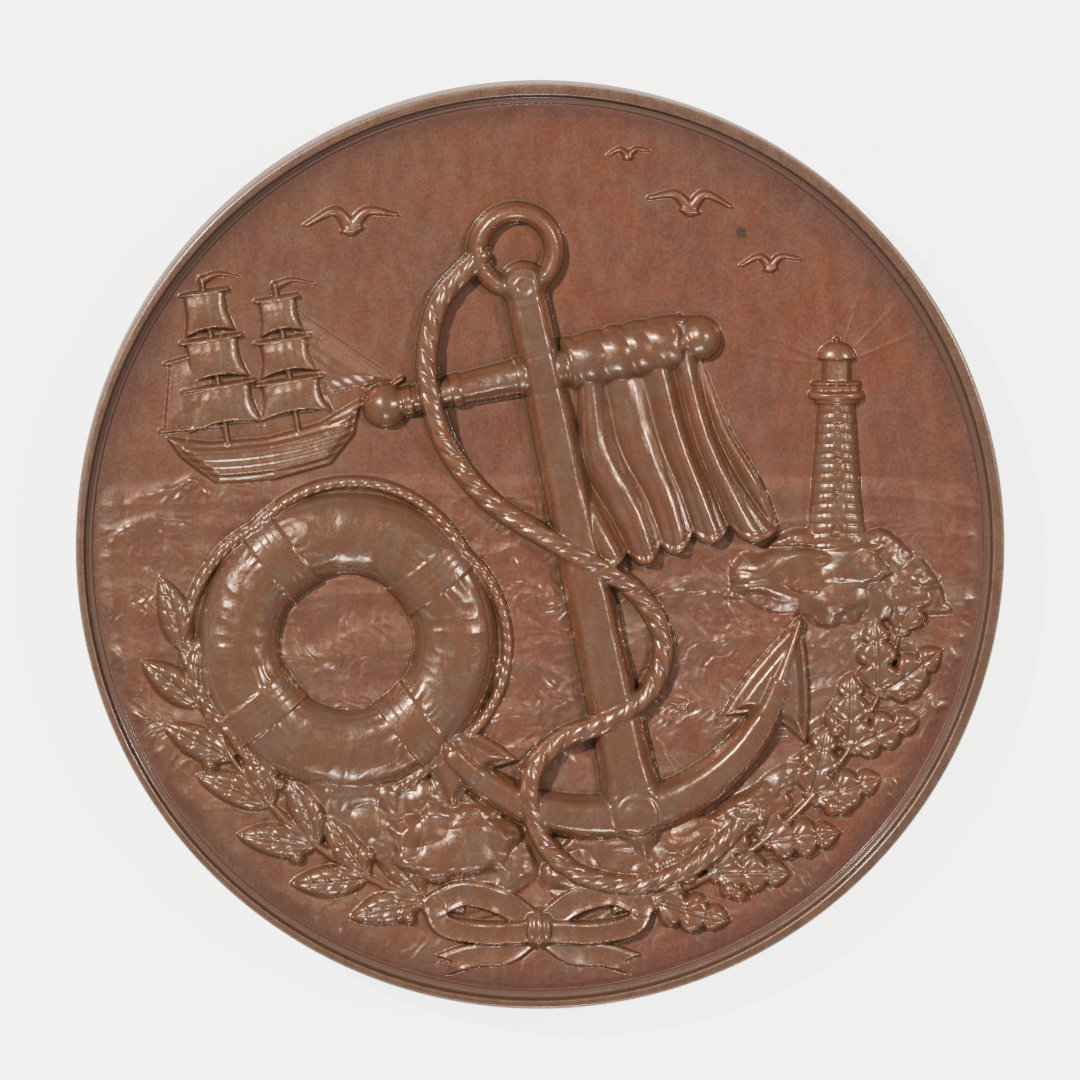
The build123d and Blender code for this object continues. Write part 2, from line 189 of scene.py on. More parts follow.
def noise(x, y, size, seed):
    """Smooth noise between -1 and 1, with hills about one size across."""
    table = np.random.default_rng(seed).uniform(-1, 1, (TABLE, TABLE))
    x, y = np.asarray(x) / size + AWAY, np.asarray(y) / size + AWAY
    column, row = np.floor(x).astype(int), np.floor(y).astype(int)
    across_cell, up_cell = smoother(x - column), smoother(y - row)
    column, row = column % TABLE, row % TABLE
    next_column, next_row = (column + 1) % TABLE, (row + 1) % TABLE
    low = table[row, column] * (1 - across_cell) + table[row, next_column] * across_cell
    high = table[next_row, column] * (1 - across_cell) + table[next_row, next_column] * across_cell
    return low * (1 - up_cell) + high * up_cell


def layered_noise(x, y, size, seed, layers=4):
    """Noise on noise, each layer of half the size and half the height of the last."""
    return sum(noise(x, y, size / 2**k, seed + k) / 2**k for k in range(layers)) / 1.6


print("noise from", TABLE, "by", TABLE, "seeded values")

# %% [markdown]
# Most motifs follow a line: a rope, a stem, a ribbon, the arms of the anchor.
# So one helper draws a smooth line through points, and one says for each point of the grid
# how far along the line it lies and how far to its side. The section is then a plain formula.

# %% Lines to carve along
def smooth_line(points, step=0.25):
    """A smooth line through points, as many short runs. Any further columns are carried along."""
    points = np.asarray(points, dtype=float)
    ghost = np.vstack([2 * points[0] - points[1], points, 2 * points[-1] - points[-2]])
    pieces = []
    for a, b, c, d in zip(ghost, ghost[1:], ghost[2:], ghost[3:]):
        count = max(2, int(np.hypot(*(c - b)[:2]) / step))
        t = np.arange(count)[:, None] / count
        square, cube = 2 * a - 5 * b + 4 * c - d, 3 * b - a - 3 * c + d
        pieces.append(0.5 * (2 * b + (c - a) * t + square * t**2 + cube * t**3))
    pieces.append(points[-1:])
    return np.vstack(pieces)


def along_line(line, reach):
    """Window, place along, signed distance aside (left is plus) and run's other columns."""
    place = window_round(line[:, :2], reach)
    x, y = grid_x[place], grid_y[place]
    nearest = np.full(x.shape, np.inf)
    along = np.zeros(x.shape)
    aside = np.zeros(x.shape)
    carried = np.zeros((line.shape[1] - 2,) + x.shape)
    columns, rows = x[0], y[:, 0]
    travelled = 0.0
    for start, end in zip(line, line[1:]):
        run = end[:2] - start[:2]
        length = np.hypot(*run)
        if length == 0:
            continue
        low, high = np.minimum(start, end)[:2] - reach, np.maximum(start, end)[:2] + reach
        c0, c1 = np.searchsorted(columns, (low[0], high[0]))
        r0, r1 = np.searchsorted(rows, (low[1], high[1]))
        part = slice(r0, r1), slice(c0, c1)
        off_x, off_y = x[part] - start[0], y[part] - start[1]
        share = np.clip((off_x * run[0] + off_y * run[1]) / length**2, 0, 1)
        gap_x, gap_y = off_x - share * run[0], off_y - share * run[1]
        gap = np.hypot(gap_x, gap_y)
        closer = gap < nearest[part]
        side = np.where(run[0] * off_y - run[1] * off_x >= 0, 1, -1)
        nearest[part] = np.where(closer, gap, nearest[part])
        aside[part] = np.where(closer, gap * side, aside[part])
        along[part] = np.where(closer, travelled + share * length, along[part])
        for number in range(len(carried)):
            value = start[2 + number] + share * (end[2 + number] - start[2 + number])
            carried[number][part] = np.where(closer, value, carried[number][part])
        travelled += length
    aside[np.isinf(nearest)] = 10 * reach
    return place, along, aside, carried, travelled

# %% Sections, outlines and turned axes
def oval(aside, half_width):
    """A half oval section: 1 along the middle, 0 at the sides, and below the field outside."""
    inside = 1 - (aside / half_width) ** 2
    return np.where(inside > 0, np.sqrt(np.maximum(inside, 0)), NOTHING)


def inside_shape(x, y, corners):
    """Signed distance to an outline with straight sides: plus inside it, minus outside."""
    corners = np.asarray(corners, dtype=float)
    nearest = np.full(x.shape, np.inf)
    crossed = np.zeros(x.shape, dtype=bool)
    for start, end in zip(corners, np.roll(corners, -1, axis=0)):
        run = end - start
        share = np.clip(((x - start[0]) * run[0] + (y - start[1]) * run[1]) / (run @ run), 0, 1)
        gap_x, gap_y = x - start[0] - share * run[0], y - start[1] - share * run[1]
        nearest = np.minimum(nearest, np.hypot(gap_x, gap_y))
        if run[1] != 0:
            between = (start[1] > y) != (end[1] > y)
            crossed ^= between & (x < run[0] * (y - start[1]) / run[1] + start[0])
    return np.where(crossed, nearest, -nearest)


def turned(place, centre, degrees):
    """A window's points in axes of their own, with their origin at a centre, turned by an angle."""
    cos, sin = math.cos(math.radians(degrees)), math.sin(math.radians(degrees))
    off_x, off_y = grid_x[place] - centre[0], grid_y[place] - centre[1]
    return off_x * cos + off_y * sin, off_y * cos - off_x * sin


def turned_back(u, v, centre, degrees):
    """The place in the picture of a point in such axes."""
    cos, sin = math.cos(math.radians(degrees)), math.sin(math.radians(degrees))
    return centre[0] + u * cos - v * sin, centre[1] + u * sin + v * cos


def toward(x, y, degrees, length):
    """The place at a length from another one, in a direction."""
    return x + length * math.cos(math.radians(degrees)), y + length * math.sin(math.radians(degrees))


def add_dome(centre, radius, height, moat=0.0):
    """A round boss."""
    place = window_round([centre], radius + 1)
    distance = np.hypot(grid_x[place] - centre[0], grid_y[place] - centre[1])
    if moat:
        cut_moat(place, distance - radius, moat)
    raise_form(place, height * oval(distance, radius))


# %% [markdown]
# ## Sky
#
# The upper part is left almost plain, as on the real medal, where the metal's own colour shows best.
# It only takes the faint beams of the lantern, which fade as they spread.

# %% Horizon and the lantern's beams
def horizon(x):
    """Height of the line where the sea meets the sky, in millimetres."""
    return across(0.165) - 0.0009 * x**2 + 0.12 * noise(x, x, 6.0, 3)


LIGHT_X, LIGHT_FOOT, LIGHT_TOP = across(0.67), across(0.0), across(0.34)
LANTERN_UP = 1.9  # the lantern's middle, in millimetres above the top of the tower
BEAM_HEIGHT = 0.055
BEAMS = (
    # direction and half width, in degrees
    (172, 3.0), (157, 3.0), (141, 2.6), (122, 2.4), (100, 2.2), (72, 2.2), (46, 2.4), (22, 2.8),
)


def carve_beams():
    off_x, off_y = grid_x - LIGHT_X, grid_y - LIGHT_TOP - LANTERN_UP
    distance, angle = np.hypot(off_x, off_y), np.degrees(np.arctan2(off_y, off_x))
    beams = 0
    for middle, half in BEAMS:
        beams = beams + np.clip(1 - ((angle - middle) / half) ** 2, 0, 1)
    relief[:] += BEAM_HEIGHT * beams * np.exp(-distance / 5) * ease(distance, 0.8, 2.0)


print(len(BEAMS), "beams from the lantern")

# %% [markdown]
# ## Sea
#
# The sea on the real medal is a low, nervous surface: rows of crests that grow towards the front,
# each combed with fine lines where the water slides down its face.
# Rows of a sharpened sine give the crests, and one noise breaks them up. A second noise, drawn
# out long and thin along the water's slide, combs them into fine tufts.

# %% The open sea
SEA_LEVEL = 0.12
COMBED, CHOP = 0.056, 0.040  # heights of the fine tufts and of the small unrest between the rows


def carve_sea():
    below = horizon(grid_x) - grid_y
    depth = np.maximum(below, 0)
    drift = 1.5 * layered_noise(grid_x, grid_y * 2, 6.0, 31)
    rows = 8.0 * np.log1p((depth + drift * ease(depth, 0, 6)) / 4.2)
    arch = np.sin(rows * np.pi / 2)
    swell = 1.13 - np.sqrt(arch**2 + 0.017)
    broken = ease(noise(grid_x, rows * 4.3, 4.2, 32), -0.75, 0.45)
    size = 0.06 + 0.20 * ease(depth, 0, 16)
    slide = 1.05 * grid_x + 2.4 * np.abs(arch) + 2.2 * layered_noise(grid_x, grid_y, 4.0, 33)
    slide += 0.55 * layered_noise(grid_x, grid_y * 0.6, 1.4, 35, 2)
    hair = noise(slide / 0.34, rows * 1.7, 1.0, 37)
    patch = ease(layered_noise(grid_x, grid_y * 1.6, 3.2, 36, 2), -0.35, 0.35)
    crests = size * (swell**1.25) * (0.30 + 0.70 * broken) * (1 + 0.15 * hair * patch)
    combed = COMBED * hair * ease(depth, 0.5, 6) * (0.25 + 0.75 * patch)
    chop = CHOP * layered_noise(grid_x, grid_y * 1.8, 1.6, 34) * ease(depth, 0, 8)
    sea = SEA_LEVEL + crests + combed + chop
    shown = ease(below, -0.15, 0.75)
    relief[:] = relief * (1 - shown) + sea * shown


print("horizon", round(float(horizon(0.0)), 2), "mm above the middle")

# %% [markdown]
# Bigger waves are carved one at a time. Each has a bent crest, a steep back and a long hollow
# face, and then the strokes of the graver: short curved lines that curl over its lip and run
# down its face. These strokes catch the light and make the water look quick.

# %% Breaking waves
def lumps(x, y, size, seed):
    """Rounded lumps between 0 and about 1, with creases between them."""
    return np.abs(noise(x, y, size, seed)) ** 0.75


def carve_stroke(x, y, heading, length, bend, width, low, high):
    """One curved stroke of the graver, pointed at both ends, from height low to height high."""
    angle = math.radians(heading)
    ahead = np.array((math.cos(angle), math.sin(angle)))
    left = np.array((-ahead[1], ahead[0]))
    points = []
    for share in (0.0, 0.25, 0.5, 0.75, 1.0):
        spot = np.array((x, y)) + ahead * length * share + left * bend * 4 * share * (1 - share)
        points.append((spot[0], spot[1], low + (high - low) * math.sin(share * math.pi)))
    place, run, aside, carried, total = along_line(smooth_line(points, 0.2), width * 1.5)
    half = np.maximum(width * np.sin(np.clip(run / total, 0, 1) * np.pi) ** 0.6, 0.02)
    raise_within(place, np.abs(aside) < half, carried[0] + 0.55 * width * oval(aside, half), CRISP)


def carve_swirl(x, y, reach, seed):
    """Fine strokes that bend round a place in the sea, as the graver follows the water's turn."""
    place = window_round([(x, y)], 2.2 * reach)
    near_x, near_y = grid_x[place], grid_y[place]
    off_x, off_y = near_x - x, near_y - y
    radius = np.hypot(off_x, off_y * 1.35) + 0.5 * noise(near_x, near_y, 2.6, seed)
    turn = np.arctan2(off_y, off_x)
    strokes = noise(radius / 0.30, turn * reach / 1.5, 1.0, seed + 1)
    bright = ease(noise(near_x, near_y, 1.8, seed + 2), -0.5, 0.5)
    shown = ridge(radius, reach) * ease(horizon(near_x) - near_y, 0.2, 1.5)
    relief[place] += COMBED * strokes * shown * (0.3 + 0.7 * bright)

# %% One wave, its strokes and a burst of spray
def carve_wave(x, y, heading, length, rise, height, seed):
    """A wave from its left end. Rise is how far its crest bends up in the middle."""
    middle = toward(x, y, heading, length / 2)
    place = window_round([middle], length * 0.62 + 2)
    along, up = turned(place, middle, heading)
    share = along / (length / 2)
    lip = rise * (1 - share**2) + 0.32 * noise(along, 0 * along, 1.5, seed)
    lip += 0.12 * noise(along, 0 * along, 0.6, seed + 4)
    fade = np.sqrt(np.clip(1 - share**2, 0, 1))
    behind, before = np.maximum(up - lip, 0), np.maximum(lip - up, 0)
    face = np.exp(-behind / 0.26) * np.exp(-before / (0.8 + height))
    fan = along + 0.42 * before**1.35 + 0.35 * layered_noise(along, up * 0.6, 1.7, seed + 1, 3)
    patch = 0.3 + 0.7 * ease(layered_noise(along, up * 0.5, 2.4, seed + 2, 2), -0.5, 0.3)
    hair = noise(fan / 0.30, before / 1.3, 1.0, seed + 3) * ease(before, 0.0, 0.3)
    hair = hair * np.exp(-before / 2.0) * patch
    foam = lumps(along, up, 0.55, seed + 5) * ridge(up - lip + 0.10, 0.26) * patch
    body = relief[place] * (1 - 0.6 * face * fade) + height * fade * face * (1 + 0.40 * hair)
    body += 0.12 * foam * fade
    relief[place] = np.maximum(relief[place] * (1 - 0.3 * face * fade), body)
    comb_wave(middle, heading, length, rise, height, seed)


def comb_wave(middle, heading, length, rise, height, seed):
    """Strokes that curl over a wave's lip and run down its face."""
    draw = np.random.default_rng(seed)
    count = int(length * 1.5)
    lean = draw.choice((-1, 1))
    for number in range(count):
        share = -0.86 + 1.72 * (number + draw.uniform(-0.4, 0.4)) / max(count - 1, 1)
        spot = share * length / 2, rise * (1 - share * share) + draw.normal(0.02, 0.12)
        base = height * max(0.05, 1 - share * share) ** 0.5
        turn = lean if draw.uniform() < 0.85 else -lean
        size = draw.uniform(0.8, 2.1) * (0.55 + height)
        down = heading - 90 + turn * draw.uniform(8, 42)
        bend = -turn * size * draw.uniform(0.14, 0.26)
        width = draw.uniform(0.08, 0.14)
        high = base * draw.uniform(0.85, 1.05) + 0.02
        carve_stroke(*turned_back(*spot, middle, heading), down, size, bend, width, base * 0.45, high)


def carve_spray(centre, width, height, seed, count=26):
    """A burst of spray: curls that thin out upward, with drops above them."""
    draw = np.random.default_rng(seed)
    for _ in range(count):
        lift = draw.beta(1.2, 2.2) * height
        off = draw.normal(0, width * (0.3 + 0.5 * lift / height))
        heading = 90 - off / width * 35 + draw.uniform(-18, 18)
        size = draw.uniform(0.5, 1.3)
        bend = -math.copysign(size * draw.uniform(0.1, 0.3), off)
        thick = draw.uniform(0.08, 0.15)
        level = 0.30 * (1 - 0.7 * lift / height)
        x, y = centre[0] + off, centre[1] + lift
        carve_stroke(x, y, heading, size, bend, thick, level * 0.5, level)
        drop = (centre[0] + off * 1.5, centre[1] + lift * 1.25 + 0.4)
        add_dome(drop, draw.uniform(0.07, 0.14), 0.16)

# %% The waves of the picture
WAVES = (
    # left x, y, heading, length, rise, height, seed
    (-0.93, 0.115, -2, 0.36, 0.035, 0.19, 101),
    (-0.60, 0.105, 2, 0.34, 0.030, 0.18, 102),
    (-0.97, 0.010, 8, 0.26, 0.050, 0.25, 103),
    (-0.20, 0.100, -4, 0.22, 0.030, 0.14, 104),
    (-0.18, -0.045, 4, 0.22, 0.035, 0.18, 105),
    (0.26, -0.120, 4, 0.26, 0.040, 0.17, 106),
    (0.33, -0.235, -4, 0.36, 0.055, 0.24, 107),
    (0.62, -0.235, -8, 0.32, 0.060, 0.26, 108),
    (0.55, -0.375, 6, 0.34, 0.060, 0.30, 109),
    (-0.17, -0.310, 2, 0.24, 0.045, 0.24, 110),
    (-0.11, -0.470, -6, 0.20, 0.040, 0.24, 112),
)


def carve_waves():
    for x, y, heading, length, rise, height, seed in WAVES:
        middle = across((x + length / 2, y - 0.03))
        carve_swirl(middle[0], middle[1], across(length) * 0.55, seed + 50)
    for x, y, heading, length, rise, height, seed in WAVES:
        carve_wave(across(x), across(y), heading, across(length), across(rise), height, seed)


print(len(WAVES), "waves")

# %% [markdown]
# ## Rock
#
# Sea-worn rock is rounded lumps of several sizes with creases between them, and small chips that
# glint in patches. The plain size of a noise, without its sign, has just that form: round backs
# where it is far from zero and a crease where it passes through it.

# %% Worn rock
def carve_rock(points, height, slope_width, seed):
    """A rock within an outline, in shares. It rises from its edge over the slope's width."""
    corners = across(points)
    place = window_round(corners, 1.2)
    x, y = grid_x[place], grid_y[place]
    inner = inside_shape(x, y, corners) + 0.45 * layered_noise(x, y, 2.2, seed)
    warp_x, warp_y = x + 0.7 * noise(x, y, 2.4, seed + 1), y + 0.7 * noise(x, y, 2.4, seed + 2)
    big = lumps(warp_x, warp_y * 1.25, 2.9, seed + 3)
    middle = lumps(warp_x, warp_y * 1.2, 1.25, seed + 4)
    chips = lumps(x, y, 0.5, seed + 6) * ease(noise(x, y, 1.9, seed + 5), -0.1, 0.6)
    worn = 0.50 * big + 0.18 * middle + 0.06 * chips
    body = height * ease(inner, 0, slope_width) + worn * ease(inner, 0.0, 0.45) + 0.10
    raise_within(place, inner > 0, body)

# %% The shore and the lighthouse's rock
SHORE = (
    # outline, height, width of its slope, seed
    (((-0.57, -0.53), (-0.50, -0.46), (-0.38, -0.50), (-0.22, -0.50), (-0.06, -0.60), (0.02, -0.74),
      (-0.08, -0.83), (-0.28, -0.76), (-0.45, -0.66)), 0.34, 1.8, 201),
    (((-0.36, -0.62), (-0.26, -0.545), (-0.12, -0.56), (-0.02, -0.64), (-0.06, -0.74),
      (-0.22, -0.77), (-0.34, -0.72)), 0.88, 1.2, 202),
    (((-0.02, -0.74), (0.08, -0.64), (0.22, -0.60), (0.40, -0.60), (0.50, -0.50), (0.60, -0.45),
      (0.63, -0.50), (0.50, -0.64), (0.32, -0.76), (0.06, -0.83)), 0.34, 1.8, 203),
    (((0.39, -0.61), (0.47, -0.53), (0.57, -0.49), (0.59, -0.54), (0.49, -0.65)), 0.62, 1.0, 204),
)
LIGHT_ROCK = (
    (((0.40, -0.12), (0.46, -0.01), (0.57, 0.04), (0.77, 0.05), (0.88, -0.02), (0.94, -0.15),
      (0.66, -0.19)), 0.50, 1.6, 211),
    (((0.51, -0.10), (0.57, 0.015), (0.75, 0.025), (0.81, -0.06), (0.68, -0.14)), 0.82, 1.0, 212),
)


def carve_rocks(rocks):
    for points, height, slope_width, seed in rocks:
        carve_rock(points, height, slope_width, seed)


print(len(SHORE) + len(LIGHT_ROCK), "rocks")

# %% [markdown]
# ## Lighthouse
#
# A tapering round tower. Its courses of stone are fine level grooves that follow the tower's
# roundness, with upright joints between them, and it carries a gallery, a lantern and a dome.

# %% The tower
COURSE = 0.62  # height of a course of stone
JOINT_TURN = 0.62  # angle from one upright joint to the next, in radians
WINDOWS = (
    # share of the tower's height, half width, height
    (0.08, 0.34, 0.62), (0.36, 0.2, 0.26), (0.58, 0.18, 0.24), (0.80, 0.16, 0.22),
)


def carve_tower(place, from_middle, up, height):
    share = np.clip(up / height, 0, 1)
    half = across(0.063) * (1 - 0.36 * share + 0.18 * (1 - share) ** 4)
    tower = oval(from_middle, half)
    round_place = np.clip(from_middle / half, -1, 1)
    level = (up + 0.12 * round_place**2) / COURSE
    groove = ridge((level % 1 - 0.5) * COURSE, 0.06)
    stagger = np.floor(level + 0.5) % 2 * 0.5
    joint_place = (np.arcsin(round_place) / JOINT_TURN + stagger) % 1 - 0.5
    joint = ridge(joint_place * JOINT_TURN * half, 0.04) * (1 - groove)
    stone = crest(0.50) * (1 - 0.12 * share) * tower - 0.085 * (groove + 0.8 * joint) * (tower > 0.2)
    within = (up > 0) & (up < height)
    cut_moat(place, np.where(within, np.abs(from_middle) - half, FAR), 0.06)
    raise_within(place, (tower > 0) & within, stone)
    for hole_share, width, tall in WINDOWS:
        hole_up = up - hole_share * height - tall / 2
        arch = np.hypot(from_middle / width, np.maximum(hole_up, 0) / (tall * 0.6))
        relief[place] -= 0.16 * ((arch < 1) & (hole_up > -tall / 2))


print("tower", round(float(LIGHT_TOP - LIGHT_FOOT), 2), "mm high")

# %% The lighthouse's gallery, lantern and dome
GALLERY = (
    # low and high edge from the tower's top, half width, height
    (-0.40, -0.12, across(0.050), crest(0.50)),
    (-0.12, 0.30, across(0.062), crest(0.56)),
    (0.78, 0.92, across(0.056), crest(0.50)),
)
RAIL_HALF, GLASS_HALF, DOME_HALF = across(0.056), across(0.032), across(0.042)
LANTERN_TOP, DOME_RISE = across(0.085), 1.05


def round_bars(from_middle, half, count, share):
    """Upright bars round a drum, seen from the front."""
    return np.cos(np.arcsin(np.clip(from_middle / half, -1, 1)) * count) > share


def carve_lantern(place, from_middle, up):
    for low, high, half, height in GALLERY:
        raise_within(place, (up > low) & (up < high), height * oval(from_middle, half), CRISP)
    posts = 0.07 * round_bars(from_middle, RAIL_HALF, 14, 0.2)
    rail = (crest(0.40) * oval(from_middle, RAIL_HALF)) - 0.1 + posts
    raise_within(place, (up > 0.3) & (up < 0.8), rail, CRISP)
    panes = 0.06 * round_bars(from_middle, GLASS_HALF, 9, 0.55)
    glass = crest(0.34) * oval(from_middle, GLASS_HALF) + panes
    raise_within(place, (up > 0.8) & (up < LANTERN_TOP), glass, CRISP)
    dome_up = up - LANTERN_TOP
    dome_round = np.sqrt(np.clip(1 - (dome_up / DOME_RISE) ** 2, 0, 1))
    dome = oval(from_middle, np.maximum(DOME_HALF * dome_round, 1e-3)) * dome_round
    raise_within(place, (dome_up > 0) & (dome_up < DOME_RISE), crest(0.40) * dome + 0.12, CRISP)


def carve_lighthouse():
    place = window(LIGHT_X - 3, LIGHT_X + 3, LIGHT_FOOT - 1, LIGHT_TOP + 4)
    from_middle, up = grid_x[place] - LIGHT_X, grid_y[place] - LIGHT_FOOT
    carve_tower(place, from_middle, up, LIGHT_TOP - LIGHT_FOOT)
    carve_lantern(place, from_middle, up - (LIGHT_TOP - LIGHT_FOOT))
    add_dome((LIGHT_X, LIGHT_TOP + LANTERN_TOP + 1.2), 0.17, crest(0.22))


# %% [markdown]
# ## Ship
#
# The ship is far off, so it is low and fine: a heeling hull with its planks,
# sails that belly between the yards, and rigging cut as the thinnest raised lines.

# %% The ship's hull and lines
SHIP_PLACE = (across(-0.60), across(0.20))
SHIP_HEEL = 9.0
HULL = (
    (-0.20, 0.04), (-0.225, 0.09), (-0.13, 0.062), (0.0, 0.052), (0.12, 0.066), (0.22, 0.105),
    (0.195, 0.03), (0.13, -0.03), (0.0, -0.045), (-0.13, -0.035),
)
PLANK = 0.46


def on_ship(u, v):
    return turned_back(across(u), across(v), SHIP_PLACE, SHIP_HEEL)


def carve_line(start, end, width, height):
    """A thin straight raised line between two points of the ship, in shares."""
    start, end = on_ship(*start), on_ship(*end)
    line = smooth_line([start, ((start[0] + end[0]) / 2, (start[1] + end[1]) / 2), end])
    place, _, aside, _, _ = along_line(line, width * 2)
    raise_form(place, height * oval(aside, width / 2), CRISP)


def carve_hull(place, u, v):
    inner = inside_shape(u, v, across(HULL))
    plank = 0.05 * np.cos((v - 0.10 * u**2 / 5) * 2 * np.pi / PLANK)
    belly = crest(0.36) * ease(inner, -0.1, 0.75)
    rail = 0.10 * ridge(inner - 0.13, 0.09)
    cut_moat(place, -inner, 0.05)
    raise_within(place, inner > 0, belly * 0.85 + 0.10 + plank * (inner > 0.2) + rail)


print("ship heels by", SHIP_HEEL, "degrees")

# %% The ship's masts, sails and flags
MASTS = (
    # foot, height, half width of the lowest sail
    (-0.09, 0.41, 0.086),
    (0.07, 0.37, 0.080),
)
SAILS, SAIL_FOOT, SAIL_GAP, NARROWER = 3, 0.09, 0.012, 0.015
JIB = ((0.30, 0.135), (0.115, 0.32), (0.135, 0.13))
SPANKER = ((-0.105, 0.10), (-0.105, 0.27), (-0.19, 0.25), (-0.225, 0.11))


def carve_sail(place, u, v, foot, low, high, half, row):
    """One square sail, that bellies between its yards and is pulled at its lower corners."""
    share = np.clip((v - across(low)) / (across(high) - across(low)), 0, 1)
    edge = across(half) * (1 - 0.18 * share - 0.10 * np.sin(share * np.pi))
    off = (u - across(foot)) / edge
    above_foot = v > across(low) + 0.35 * (1 - off**2)
    within = (np.abs(off) < 1) & above_foot & (v < across(high))
    full = off - 0.22 * (1 - off**2)
    belly = np.sqrt(np.clip(1 - full**2, 0, 1))
    belly = belly * np.sin(np.clip(0.10 + 0.80 * share**0.8, 0, 1) * np.pi) ** 0.6
    pulled = 0.045 * noise(off / (1.35 - share), share * 0.9, 0.42, 61 + row) * (1 - 0.5 * share)
    seam = 0.010 * np.cos(off * np.pi * 5 + row) + 0.014 * ridge(share - 0.72, 0.05)
    raise_within(place, within, 0.24 + 0.44 * belly + pulled + seam, CRISP)
    carve_line((foot - half * 0.95, high), (foot + half * 0.95, high), 0.24, 0.60)


def carve_masts(place, u, v):
    for foot, height, half_width in MASTS:
        carve_line((foot, 0.04), (foot, height + 0.02), 0.34, 0.42)
        step = (height - SAIL_FOOT) / SAILS
        for row in range(SAILS):
            low, high = SAIL_FOOT + step * row, SAIL_FOOT + step * (row + 1) - SAIL_GAP
            carve_sail(place, u, v, foot, low, high, half_width - NARROWER * row, row)
        for side in (-1, 1):
            carve_line((foot + side * 0.085, 0.075), (foot, height), 0.12, 0.15)


print(SAILS * len(MASTS), "square sails")

# %% The ship's low sails and flags
def carve_low_sails(place, u, v):
    """The bowsprit with its stays and jib, and the spanker between its two spars."""
    carve_line((0.20, 0.085), (0.32, 0.135), 0.3, 0.36)
    carve_line((0.31, 0.13), (0.07, 0.36), 0.12, 0.14)
    carve_line((0.25, 0.105), (0.07, 0.27), 0.12, 0.14)
    inner = inside_shape(u, v, across(JIB))
    cloths = 0.012 * np.cos((u + v) * 2 * np.pi / 0.75)
    raise_within(place, inner > 0, 0.12 + 0.26 * ease(inner, 0, 1.0) + cloths, CRISP)
    inner = inside_shape(u, v, across(SPANKER))
    cloths = 0.012 * np.cos(u * 2 * np.pi / 0.70)
    cloths = cloths - 0.10 * np.clip((u - across(-0.105)) / across(0.12), -1, 0)
    raise_within(place, inner > 0, 0.10 + 0.22 * ease(inner, 0, 1.3) + cloths, CRISP)
    carve_line((-0.10, 0.265), (-0.20, 0.252), 0.2, 0.42)
    carve_line((-0.10, 0.095), (-0.235, 0.105), 0.2, 0.42)


def carve_flag(foot, height):
    route = ((foot, height + 0.015), (foot + 0.04, height + 0.024), (foot + 0.085, height + 0.008))
    place, run, aside, _, total = along_line(smooth_line([on_ship(*spot) for spot in route]), 0.6)
    raise_form(place, 0.26 * oval(aside, np.maximum(0.26 * (1 - run / total), 0.05)), CRISP)


def carve_ship():
    x, y = SHIP_PLACE
    place = window(x - 8.5, x + 9.5, y - 3, y + 13)
    u, v = turned(place, SHIP_PLACE, SHIP_HEEL)
    carve_hull(place, u, v)
    carve_masts(place, u, v)
    carve_low_sails(place, u, v)
    for foot, height, _ in MASTS:
        carve_flag(foot, height)


# %% [markdown]
# ## Gulls
#
# Each gull is two bent wings that taper from the body to the tip.

# %% Gulls
GULLS = (
    # x, y, span and the way it flies
    (-0.42, 0.72, 0.20, 1), (0.34, 0.76, 0.18, -1), (0.52, 0.63, 0.13, 1), (0.20, 0.88, 0.09, 1),
)


def carve_gulls():
    for x, y, span, turn in GULLS:
        for side in (-1, 1):
            bend = (x + side * span * 0.18, y + span * 0.20)
            tip = (x + side * span * 0.52, y + span * 0.10 * (1 + side * turn * 0.6))
            place, run, aside, _, total = along_line(smooth_line(across([(x, y), bend, tip])), 1.0)
            width = across(span) * 0.075 * (1.15 - 0.95 * run / total)
            raise_form(place, crest(0.17) * oval(aside, width), 0.03)
        tail = (x - turn * span * 0.10, y - span * 0.03)
        head = (x + turn * span * 0.13, y + span * 0.02)
        place, run, aside, _, total = along_line(smooth_line(across([tail, (x, y), head])), 1.0)
        width = across(span) * 0.06 * np.sin(np.clip(0.1 + 0.85 * run / total, 0, 1) * np.pi)
        raise_form(place, crest(0.22) * oval(aside, np.maximum(width, 0.03)), 0.03)


print(len(GULLS), "gulls")

# %% [markdown]
# ## The anchor
#
# The anchor is the main form, so it is large, smooth and high, and takes the broad lights.
# A forged anchor has flat faces with bevelled corners. The section here is a flat top that
# rolls over into its sides, and every part is worked in the anchor's own axes.

# %% The anchor in its own axes
ANCHOR_CROWN = (across(0.22), across(-0.60))
ANCHOR_LEAN = 12.0
SHANK_LENGTH = across(1.22)
STOCK_AT = across(1.02)
STOCK_HALF = across(0.36)
ARM_RADIUS = across(0.43)
ARM_HALF_ANGLE = 60.0
FLUKE = (
    # outline as shares of its length and width, from its point round
    (0.66, 0.0), (0.34, 0.20), (0.0, 0.37), (-0.24, 0.46), (-0.42, 0.5), (-0.33, 0.24),
    (-0.28, 0.0), (-0.33, -0.24), (-0.42, -0.5), (-0.24, -0.46), (0.0, -0.37), (0.34, -0.20),
)
FLUKE_LENGTH, FLUKE_WIDTH = across(0.25), across(0.2)
HAMMERED = 0.040  # height of the hammer's marks


def on_anchor(u, v):
    return turned_back(u, v, ANCHOR_CROWN, ANCHOR_LEAN)


def forged(aside, half_width, flat=0.42):
    """A forged bar's section: a nearly flat top, rolled bevels and steep sides."""
    share = np.abs(aside) / half_width
    bevel = np.clip((share - flat) / (1 - flat), 0, 1)
    return np.where(share < 1, (1 - 0.06 * share**2) * (1 - 0.62 * bevel**2.2), NOTHING)


print("shank", round(float(SHANK_LENGTH), 2), "mm long")

